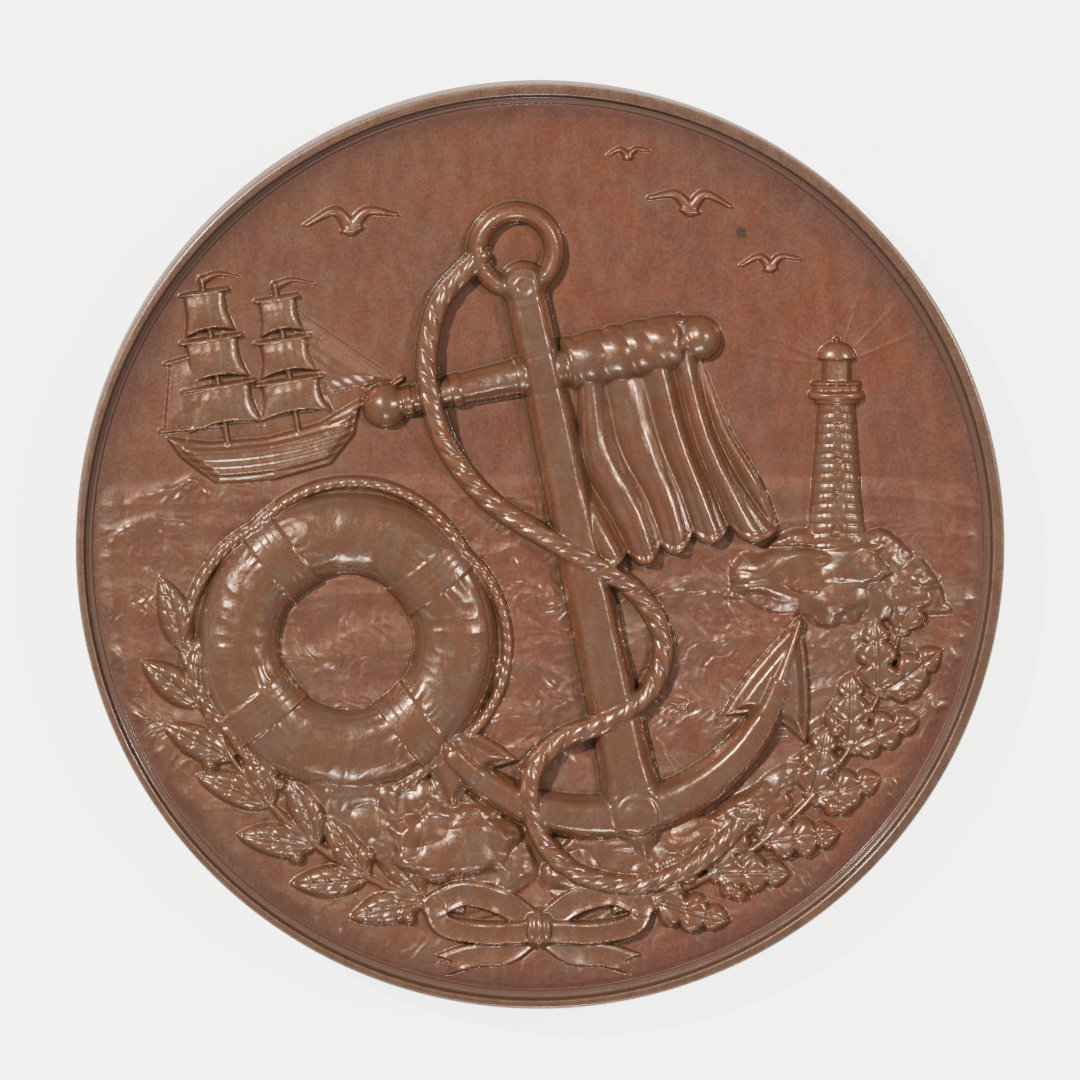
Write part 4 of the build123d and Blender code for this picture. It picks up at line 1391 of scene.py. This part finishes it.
def medal_faces(border):
    width = NET + 1
    row, column = np.meshgrid(np.arange(NET), np.arange(NET), indexing="ij")
    corner = (row * width + column).ravel()
    faces = [np.column_stack([corner, corner + 1, corner + width + 1, corner + width])]
    inner, start, count = border, width * width, len(border)
    for _ in rings:
        outer = start + np.arange(count)
        faces.append(np.column_stack([inner, outer, np.roll(outer, -1), np.roll(inner, -1)]))
        inner, start = outer, start + count
    fan = np.column_stack([inner, np.full(count, start), np.roll(inner, -1)])
    return np.vstack(faces), fan


def make_mesh(name, points, quads, triangles):
    mesh = bpy.data.meshes.new(name)
    corners = np.concatenate([quads.ravel(), triangles.ravel()])
    first_triangle = len(quads) * 4
    starts = [np.arange(len(quads)) * 4, first_triangle + np.arange(len(triangles)) * 3]
    starts = np.concatenate(starts)
    mesh.vertices.add(len(points))
    mesh.vertices.foreach_set("co", points.ravel())
    mesh.loops.add(len(corners))
    mesh.loops.foreach_set("vertex_index", corners.astype(np.int32))
    mesh.polygons.add(len(starts))
    mesh.polygons.foreach_set("loop_start", starts.astype(np.int32))
    mesh.update(calc_edges=True)
    mesh.validate()
    return mesh


points, border = medal_points()
quads, fan = medal_faces(border)
fine_mesh = make_mesh("struck_medal_fine", points, quads, fan)
FINE_TRIANGLES = len(quads) * 2 + len(fan)
print("fine skin of", FINE_TRIANGLES, "triangles")

# %% [markdown]
# The net has the same fineness in the plain sky as in the leaves. Blender's Decimate modifier
# takes triangles out where the skin is flat and keeps them where it is carved, so the whole
# medal stays light enough to be a reusable part.

# %% Fewer triangles where the skin is flat
TRIANGLE_LIMIT = 776000


def put_in_scene(name, data):
    thing = bpy.data.objects.new(name, data)
    bpy.context.scene.collection.objects.link(thing)
    return thing


def thin_out(mesh, share):
    carrier = put_in_scene(mesh.name, mesh)
    cut = carrier.modifiers.new("thin", "DECIMATE")
    cut.ratio = min(1.0, share)
    cut.use_collapse_triangulate = True
    evaluated = carrier.evaluated_get(bpy.context.evaluated_depsgraph_get())
    thinned = bpy.data.meshes.new_from_object(evaluated)
    bpy.data.objects.remove(carrier)
    bpy.data.meshes.remove(mesh)
    return thinned


medal_mesh = thin_out(fine_mesh, TRIANGLE_LIMIT / FINE_TRIANGLES)
medal_mesh.name = "struck_medal"
medal_mesh.polygons.foreach_set("use_smooth", np.ones(len(medal_mesh.polygons), dtype=bool))
print("skin of", len(medal_mesh.polygons), "triangles and", len(medal_mesh.vertices), "points")

# %% [markdown]
# The maps go on to the mesh as values at its points. The material reads them from there,
# so the finish follows the carving from every side and in any other program.

# %% Finish values at the points
VALUE_NAMES = ("hollow", "rubbed", "raised", "rim", "band", "wall")
MIDDLE_LEVEL = 2.5  # between the front and the back of the medal


def read(rows, name, columns=1, kind=np.float32):
    """One property of all the points, corners or faces of a mesh, as an array."""
    values = np.empty(len(rows) * columns, dtype=kind)
    rows.foreach_get(name, values)
    return values.reshape(-1, columns) if columns > 1 else values


def finish_values(mesh):
    x, y, z = (read(mesh.vertices, "co", 3).T / TO_METRES).astype(float)
    inner_x, inner_y = x - STRIKE_SHIFT[0], y - STRIKE_SHIFT[1]
    radius, outer = np.hypot(inner_x, inner_y), np.hypot(x, y)
    front, beyond = z > MIDDLE_LEVEL, radius > FIELD_RADIUS + 0.02
    fade = ease(FIELD_RADIUS - radius, 0.0, FIELD_FADE) * (front & ~beyond)
    border_line = ridge(radius - FIELD_RADIUS - 0.07, 0.05) * (front & beyond)
    wall_line = ridge(radius - COVE_RADIUS - 0.03, 0.07) * front
    corner = ridge(outer - MEDAL_RADIUS + 0.12, 0.14) * ridge(z - RIM_TOP + 0.1, 0.16)
    inner_corner = ridge(radius - MEDAL_RADIUS + RIM_LAND - 0.02, 0.09) * (z > RIM_TOP - 0.2)
    back_corner = ridge(outer - MEDAL_RADIUS + 0.12, 0.16) * ridge(z - 0.1, 0.2)
    # Wear on the rim, and along its inner corner a painted highlight that lightens the edge where a
    # lamp would glint.
    rim_wear_and_sheen = (front & (radius > COVE_RADIUS)) * (0.35 + 0.5 * corner + 0.45 * inner_corner)
    # The hollow value also paints shade into the corners at the foot of the field's step and of the
    # rim's inner wall.
    hollow = sample(hollow_map, inner_x, inner_y) * fade + 0.75 * border_line + wall_line
    rubbed = sample(crest_map, inner_x, inner_y) * fade + rim_wear_and_sheen + 0.8 * back_corner
    raised = sample(height_map, inner_x, inner_y) * fade
    rim = (radius > COVE_RADIUS - 0.02) | (~front & (outer > MEDAL_RADIUS - BACK_LAND))
    band = front & beyond & (radius < COVE_RADIUS + 0.02)
    wall = ease(outer, MEDAL_RADIUS - 0.10, MEDAL_RADIUS - 0.02)
    for name, values in zip(VALUE_NAMES, (hollow, rubbed, raised, rim, band, wall)):
        layer = mesh.attributes.new(name, "FLOAT", "POINT")
        layer.data.foreach_set("value", np.clip(values, 0, 1).astype(np.float32))


finish_values(medal_mesh)
print("values:", [layer.name for layer in medal_mesh.attributes if layer.data_type == "FLOAT"])

# %% [markdown]
# ## Four quarters
#
# Programs that take the part want no piece of more than 200,000 triangles, which is too few for
# the fine strokes of the sea. So the finished skin is cut in four quarters of equal weight.
# Each is closed with flat cuts, so it is a solid by itself. The four meet exactly, and each
# keeps the directions of the whole skin's surface, so that no joint shows.

# %% Directions of the whole skin
def keep_directions(mesh):
    layer = mesh.attributes.new("direction", "FLOAT_VECTOR", "POINT")
    layer.data.foreach_set("vector", read(mesh.vertex_normals, "vector", 3).ravel())


def triangle_middles(mesh):
    corners = read(mesh.loops, "vertex_index", kind=np.int32)
    return read(mesh.vertices, "co", 3)[corners.reshape(-1, 3)].mean(axis=1)


keep_directions(medal_mesh)
middles = triangle_middles(medal_mesh)
CUT_X = float(np.median(middles[:, 0]))
on_right = middles[:, 0] > CUT_X
CUT_Y = {-1: float(np.median(middles[~on_right, 1])), 1: float(np.median(middles[on_right, 1]))}
print("cuts at x", round(CUT_X, 5), "and at y", [round(level, 5) for level in CUT_Y.values()])

# %% Cut, close and keep the directions
CUT_GAP = 1e-7
MOST_CORNERS = 4  # a face with more corners than this is a flat cut, not a part of the skin


def cut_closed(mesh, name, point, outward):
    """The part of a closed mesh behind a plane, closed again with one flat face."""
    form = bmesh.new()
    form.from_mesh(mesh)
    bmesh.ops.bisect_plane(
        form,
        geom=form.verts[:] + form.edges[:] + form.faces[:],
        dist=CUT_GAP,
        plane_co=point,
        plane_no=outward,
        clear_outer=True,
    )
    bmesh.ops.holes_fill(form, edges=[edge for edge in form.edges if edge.is_boundary], sides=0)
    part = bpy.data.meshes.new(name)
    form.to_mesh(part)
    form.free()
    return part


def restore_directions(mesh):
    """Gives the skin its kept directions, and leaves the flat cuts flat."""
    directions = read(mesh.attributes["direction"].data, "vector", 3)
    sizes = read(mesh.polygons, "loop_total", kind=np.int32)
    at_corners = directions[read(mesh.loops, "vertex_index", kind=np.int32)]
    at_corners /= np.maximum(np.linalg.norm(at_corners, axis=1), 1e-9)[:, None]
    at_corners[np.repeat(sizes > MOST_CORNERS, sizes)] = 0
    mesh.polygons.foreach_set("use_smooth", sizes <= MOST_CORNERS)
    mesh.normals_split_custom_set(at_corners.tolist())
    mesh.attributes.remove(mesh.attributes["direction"])


pieces = []
for side, side_name in ((-1, "left"), (1, "right")):
    half_medal = cut_closed(medal_mesh, "half_" + side_name, (CUT_X, 0, 0), (-side, 0, 0))
    for rise, rise_name in ((1, "upper"), (-1, "lower")):
        name = "struck_" + rise_name + "_" + side_name
        quarter = cut_closed(half_medal, name, (0, CUT_Y[side], 0), (0, -rise, 0))
        restore_directions(quarter)
        pieces.append(put_in_scene(name, quarter))
        print(name, "of", sum(len(face.vertices) - 2 for face in quarter.polygons), "triangles")
    bpy.data.meshes.remove(half_medal)
bpy.data.meshes.remove(medal_mesh)

# %% [markdown]
# ## Bronze
#
# The medal was bronzed: the copper-rich metal was browned by heat and rubbed with a fine powder,
# which leaves a red-brown skin with a satin gloss. The skin is mottled red and purple on the
# plain field, browner on the relief and thin on the crests. The hollows are nearly black, partly
# from their patina and partly as painted shade, and the field is darkened by the rim as painted
# shade. So the base colour is mixed from these, the metal shows through most where it is rubbed,
# and a thin clear coat gives the pale highlights of a waxed and handled surface. The sunk band
# by the rim is duller, and its grey colour is a painted reflection. The rim's inner corner is
# lightened as a painted highlight, and the edge, which nobody waxes, is brown and dull.

# %% A small kit for joining shader nodes
class Finish:
    """Makes nodes in one material and joins them."""

    def __init__(self, name, **same_all_over):
        self.material = bpy.data.materials.new(name)
        self.material.use_nodes = True
        self.tree = self.material.node_tree
        self.shader = self.tree.nodes["Principled BSDF"]
        for socket, value in same_all_over.items():
            self.set(socket.replace("_", " "), value)

    def feed(self, socket, value):
        """Joins a node's output to a socket, or sets a plain value on the socket itself."""
        if isinstance(value, bpy.types.NodeSocket):
            self.tree.links.new(value, socket)
        else:
            socket.default_value = value

    def set(self, name, value):
        self.feed(self.shader.inputs[name], value)

    def node(self, kind, inputs, **settings):
        node = self.tree.nodes.new(kind)
        for key, value in settings.items():
            setattr(node, key, value)
        for key, value in inputs.items():
            self.feed(node.inputs[key], value)
        return node

    def value(self, name):
        return self.node("ShaderNodeAttribute", {}, attribute_name=name).outputs["Fac"]

    def math(self, operation, first, second, clamp=False):
        inputs = {0: first, 1: second}
        return self.node("ShaderNodeMath", inputs, operation=operation, use_clamp=clamp).outputs[0]

    def times(self, first, second):
        return self.math("MULTIPLY", first, second)

    def plus(self, first, second, clamp=False):
        return self.math("ADD", first, second, clamp)

    def minus(self, first, second):
        return self.math("SUBTRACT", first, second)

    def distance(self, first, second):
        inputs = {0: first, 1: second}
        return self.node("ShaderNodeVectorMath", inputs, operation="DISTANCE").outputs["Value"]

    def spread(self, value, low, high, new_low=0.0, new_high=1.0):
        """Goes smoothly from one new value to another as a value goes from low to high."""
        inputs = dict(enumerate((value, low, high, new_low, new_high)))
        return self.node("ShaderNodeMapRange", inputs, interpolation_type="SMOOTHSTEP").outputs[0]

    def mix(self, share, first, second):
        inputs = {0: share, 6: first, 7: second}
        return self.node("ShaderNodeMix", inputs, data_type="RGBA").outputs[2]

    def lay_colour(self, body, tint, share, strength):
        """Lays a colour over another one where a share of the surface says so."""
        return self.mix(self.times(share, strength), body, tint)

    def noise(self, place, scale, detail=4.0, roughness=0.55, distortion=0.0):
        inputs = {"Vector": place, "Scale": scale, "Detail": detail}
        inputs.update({"Roughness": roughness, "Distortion": distortion})
        return self.node("ShaderNodeTexNoise", inputs).outputs["Fac"]

    def place(self, scale=(1000.0, 1000.0, 1000.0), turn=0.0):
        """The object's own coordinates in millimetres, drawn out and turned flat if asked."""
        coordinates = self.node("ShaderNodeTexCoord", {}).outputs["Object"]
        inputs = {"Vector": coordinates, "Scale": scale, "Rotation": (0.0, 0.0, turn)}
        return self.node("ShaderNodeMapping", inputs).outputs["Vector"]


def colour(red, green, blue):
    return (red, green, blue, 1.0)

# %% Colours of the bronzed skin
RED_FIELD = colour(0.170, 0.051, 0.027)
PURPLE_FIELD = colour(0.135, 0.052, 0.037)
OLIVE_FIELD = colour(0.148, 0.072, 0.038)
OLIVE_SLOPE = colour(0.177, 0.094, 0.054)
GREY_SKIN = colour(0.156, 0.097, 0.070)
RUBBED_COPPER = colour(0.270, 0.118, 0.067)
# Partly the hollows' patina, partly painted shade.
HOLLOW_PATINA_AND_SHADE = colour(0.080, 0.042, 0.019)
RIM_BROWN = colour(0.112, 0.060, 0.034)
RIM_PURPLE = colour(0.098, 0.047, 0.040)
RIM_BARE = colour(0.180, 0.106, 0.070)
# Painted reflection in the sunk band.
BAND_REFLECTION_GREY = colour(0.090, 0.048, 0.041)
WALL_BROWN = colour(0.070, 0.034, 0.017)
# Painted shade on the field near the rim.
NEAR_RIM_SHADE = colour(0.085, 0.040, 0.036)
SPOT_BLACK = colour(0.045, 0.035, 0.032)
SPOTS = (
    # x, y and radius, in millimetres
    (12.44, 19.49, 0.42), (15.48, -17.77, 0.16), (-21.2, 4.1, 0.10), (6.9, 22.6, 0.08),
)


def field_colour(finish, place):
    """Red and purple clouds, browner to the left, with a fine grain of olive and purple."""
    clouds = finish.noise(place, 0.15, 5.0, 0.60, 0.8)
    patches = finish.noise(place, 0.55, 5.0, 0.62, 0.5)
    grain = finish.noise(place, 3.6, 4.0, 0.65, 0.3)
    specks = finish.noise(finish.place(turn=1.1), 2.3, 5.0, 0.7)
    split = finish.node("ShaderNodeSeparateXYZ", {0: place})
    leftward = finish.plus(split.outputs["X"], finish.times(patches, 14.0))
    field = finish.lay_colour(RED_FIELD, OLIVE_FIELD, finish.spread(leftward, 14.0, -12.0), 0.55)
    field = finish.lay_colour(field, PURPLE_FIELD, finish.spread(clouds, 0.42, 0.62), 0.85)
    field = finish.lay_colour(field, OLIVE_FIELD, finish.spread(grain, 0.46, 0.68), 0.40)
    return finish.lay_colour(field, PURPLE_FIELD, finish.spread(specks, 0.50, 0.72), 0.38)


# The share of painted shade near the rim.
def rim_nearness(finish, place, worn):
    """How near a place lies to the field's edge, as seen from above, with a ragged border."""
    inputs = {0: place, 1: (1.0, 1.0, 0.0)}
    flat = finish.node("ShaderNodeVectorMath", inputs, operation="MULTIPLY").outputs["Vector"]
    reach = finish.plus(finish.distance(flat, (*STRIKE_SHIFT, 0.0)), worn)
    return finish.spread(reach, FIELD_RADIUS - 1.5, FIELD_RADIUS + 0.4)

# %% The skin's colour, layer by layer
def bronze_colour(finish, place, values):
    """The field's colours, then those of the relief, the rim, the wall, the hollows and spots."""
    hollow, rubbed, raised, rim, band, wall = values
    worn = finish.noise(place, 1.3, 4.0, 0.6, 0.4)
    skins = finish.noise(finish.place(turn=2.2), 0.42, 5.0, 0.62, 1.2)
    slope = finish.spread(raised, 0.02, 0.30)
    body = finish.lay_colour(field_colour(finish, place), OLIVE_SLOPE, slope, 0.50)
    on_relief = finish.spread(raised, 0.0, 0.25, 0.30, 0.80)
    body = finish.lay_colour(body, GREY_SKIN, finish.spread(skins, 0.46, 0.64), on_relief)
    patchy = finish.spread(worn, 0.35, 0.62, 0.25, 0.85)
    body = finish.lay_colour(body, RUBBED_COPPER, finish.spread(rubbed, 0.15, 0.9), patchy)
    # Painted shade: the field is darkened in a ragged ring by the rim.
    body = finish.lay_colour(body, NEAR_RIM_SHADE, rim_nearness(finish, place, worn), 0.55)
    # Painted reflection: the sunk band by the rim is turned grey.
    body = finish.lay_colour(body, BAND_REFLECTION_GREY, band, 0.90)
    rim_skin = finish.mix(finish.spread(skins, 0.44, 0.58), RIM_BROWN, RIM_PURPLE)
    body = finish.lay_colour(body, rim_skin, rim, 0.85)
    bare = finish.spread(worn, 0.30, 0.60, 0.35, 0.95)
    # Worn bare metal on the rim, with a painted highlight along the rim's inner corner.
    body = finish.lay_colour(body, RIM_BARE, finish.times(rim, rubbed), bare)
    body = finish.lay_colour(body, WALL_BROWN, wall, finish.spread(worn, 0.30, 0.65, 0.95, 0.70))
    # Partly patina, partly painted shade: the hollows and the halo round raised forms go dark.
    body = finish.lay_colour(body, HOLLOW_PATINA_AND_SHADE, finish.spread(hollow, 0.05, 0.85), 0.82)
    for x, y, radius in SPOTS:
        reach = finish.distance(place, (x, y, FIELD_LEVEL))
        spot = finish.spread(reach, radius * 1.15, radius * 0.75)
        body = finish.lay_colour(body, SPOT_BLACK, spot, 0.85)
    return body


# %% [markdown]
# The gloss is not even either. Smears of wax run across the field, the relief is smoother than
# the field, and the hollows, the sunk band and the edge wall are dull. Pores, slow swells and
# polishing hairs are far too fine to model, so they are the only forms left to a bump.

# %% Gloss, fine skin and the whole bronze
SMEARS_DRAWN, HAIRS_DRAWN = (1000.0, 380.0, 1000.0), (1000.0, 90.0, 1000.0)
WAX = 0.64
DULLED = {"hollow": 0.25, "band": 0.20, "wall": 0.45}


def bronze_roughness(finish, place, values):
    named = dict(zip(VALUE_NAMES, values))
    smears = finish.noise(finish.place(SMEARS_DRAWN, 0.6), 1.1, 5.0, 0.65, 0.6)
    fine = finish.spread(finish.noise(place, 5.0, 2.0, 0.5), 0.35, 0.65, -0.04, 0.06)
    rough = finish.plus(finish.spread(smears, 0.35, 0.68, 0.35, 0.46), fine)
    rough = finish.minus(rough, finish.spread(named["raised"], 0.05, 0.45, 0.0, 0.12))
    rough = finish.minus(rough, finish.times(named["rubbed"], 0.06))
    for name, amount in DULLED.items():
        rough = finish.plus(rough, finish.times(named[name], amount), clamp=True)
    return rough


def bronze_bump(finish, place):
    pores = finish.times(finish.noise(place, 4.6, 2.0, 0.55), 0.55)
    swells = finish.times(finish.noise(place, 0.9, 3.0, 0.55), 0.9)
    hairs = finish.times(finish.noise(finish.place(HAIRS_DRAWN, 0.35), 9.0, 2.0, 0.5), 0.22)
    skin = finish.plus(finish.plus(pores, swells), hairs)
    inputs = {"Strength": 0.36, "Distance": 0.00007, "Height": skin}
    return finish.node("ShaderNodeBump", inputs).outputs["Normal"]


def bronze_finish():
    finish = Finish(
        "bronzed_metal",
        Metallic=0.42,
        Specular_IOR_Level=0.85,
        Specular_Tint=colour(1.0, 0.89, 0.80),
        Coat_Roughness=0.16,
    )
    place = finish.place()
    values = [finish.value(name) for name in VALUE_NAMES]
    band, wall = values[4:]
    finish.set("Base Color", bronze_colour(finish, place, values))
    finish.set("Roughness", bronze_roughness(finish, place, values))
    waxed = finish.minus(WAX, finish.times(band, 0.30))
    finish.set("Coat Weight", finish.minus(waxed, finish.times(wall, 0.62)))
    finish.set("Normal", bronze_bump(finish, place))
    return finish.material


bronze = bronze_finish()
for piece in pieces:
    piece.data.materials.append(bronze)
print("bronze of", len(bronze.node_tree.nodes), "nodes")

# %% [markdown]
# ## The medal joins the frame
#
# The four quarters stand for the CAD node of the same solid, and ride on the one body.

# %% Ride and replace
for piece in pieces:
    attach(piece, "root")
    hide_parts("medal")
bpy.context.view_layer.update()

# %% [markdown]
# ## Floor, light and camera
#
# The photograph is a plain studio record: the medal square on before white, under soft warm
# lamps, the strongest from the left and above. Small lamps some way off give the small warm
# highlights on the waxed crests. The floor is a wide pale sheet that glows, so it looks white.

# %% Floor
FLOOR_HALF = 1.6
FLOOR_LEVEL = -0.00002  # just under the medal, so that the two never share a plane


def make_floor():
    mesh = bpy.data.meshes.new("pale_floor")
    sides = ((-1, -1), (1, -1), (1, 1), (-1, 1))
    corners = [(x * FLOOR_HALF, y * FLOOR_HALF, FLOOR_LEVEL) for x, y in sides]
    mesh.from_pydata(corners, [], [(0, 1, 2, 3)])
    finish = Finish(
        "pale_sheet",
        Base_Color=colour(0.93, 0.93, 0.93),
        Roughness=0.9,
        Specular_IOR_Level=0.0,
        Emission_Color=colour(1.0, 1.0, 1.0),
        Emission_Strength=4.2,
    )
    mesh.materials.append(finish.material)
    return put_in_scene("pale_floor", mesh)


floor = make_floor()
print("floor", 2 * FLOOR_HALF, "m wide")

# %% Soft lights
WARM = (1.0, 0.89, 0.755)
LAMPS = (
    # name, place, size, power, tint
    ("key_lamp", (-0.50, 0.40, 0.80), 0.055, 15.2, WARM),
    ("right_lamp", (0.62, 0.20, 0.72), 0.055, 5.0, WARM),
    ("low_lamp", (0.05, -0.78, 0.58), 0.10, 2.5, (1.0, 0.95, 0.88)),
)
ROOM_LIGHT = 0.30

for name, place, size, power, tint in LAMPS:
    lamp = bpy.data.lights.new(name, "AREA")
    lamp.shape = "DISK"
    lamp.size, lamp.energy, lamp.color = size, power, tint
    light = put_in_scene(name, lamp)
    light.location = place
    light.rotation_euler = (-Vector(place)).to_track_quat("-Z", "Y").to_euler()
world = bpy.data.worlds.new("pale_room")
world.use_nodes = True
room = world.node_tree.nodes["Background"]
room.inputs["Color"].default_value = colour(1.0, 1.0, 1.0)
room.inputs["Strength"].default_value = ROOM_LIGHT
bpy.context.scene.world = world
print("lamps", [name for name, *_ in LAMPS])

# %% [markdown]
# The camera looks almost straight down, from a little above the picture's middle and a little to
# its left, with a long lens. So the edge wall shows as a thin strip at the upper left.

# %% Camera
FRAME_WIDTH = 0.0668
CAMERA_DISTANCE = 0.70
SENSOR = 36.0
TILT = math.radians(5.9)
LEAN = (-0.34, 0.94)  # how the tilt is shared between x and y
AIM = Vector((-0.00004, 0.00048, 0.0041))

backward = Vector((LEAN[0] * math.sin(TILT), LEAN[1] * math.sin(TILT), math.cos(TILT))).normalized()
right = (-backward).cross(Vector((0.0, 1.0, 0.0))).normalized()
up = right.cross(-backward)
camera_data = bpy.data.cameras.new("camera")
camera_data.sensor_width = SENSOR
camera_data.lens = SENSOR * CAMERA_DISTANCE / FRAME_WIDTH
camera = put_in_scene("camera", camera_data)
turn = Matrix((right, up, backward)).transposed().to_4x4()
camera.matrix_world = Matrix.Translation(AIM + backward * CAMERA_DISTANCE) @ turn
bpy.context.scene.camera = camera
print("camera", round(camera_data.lens, 1), "mm lens")
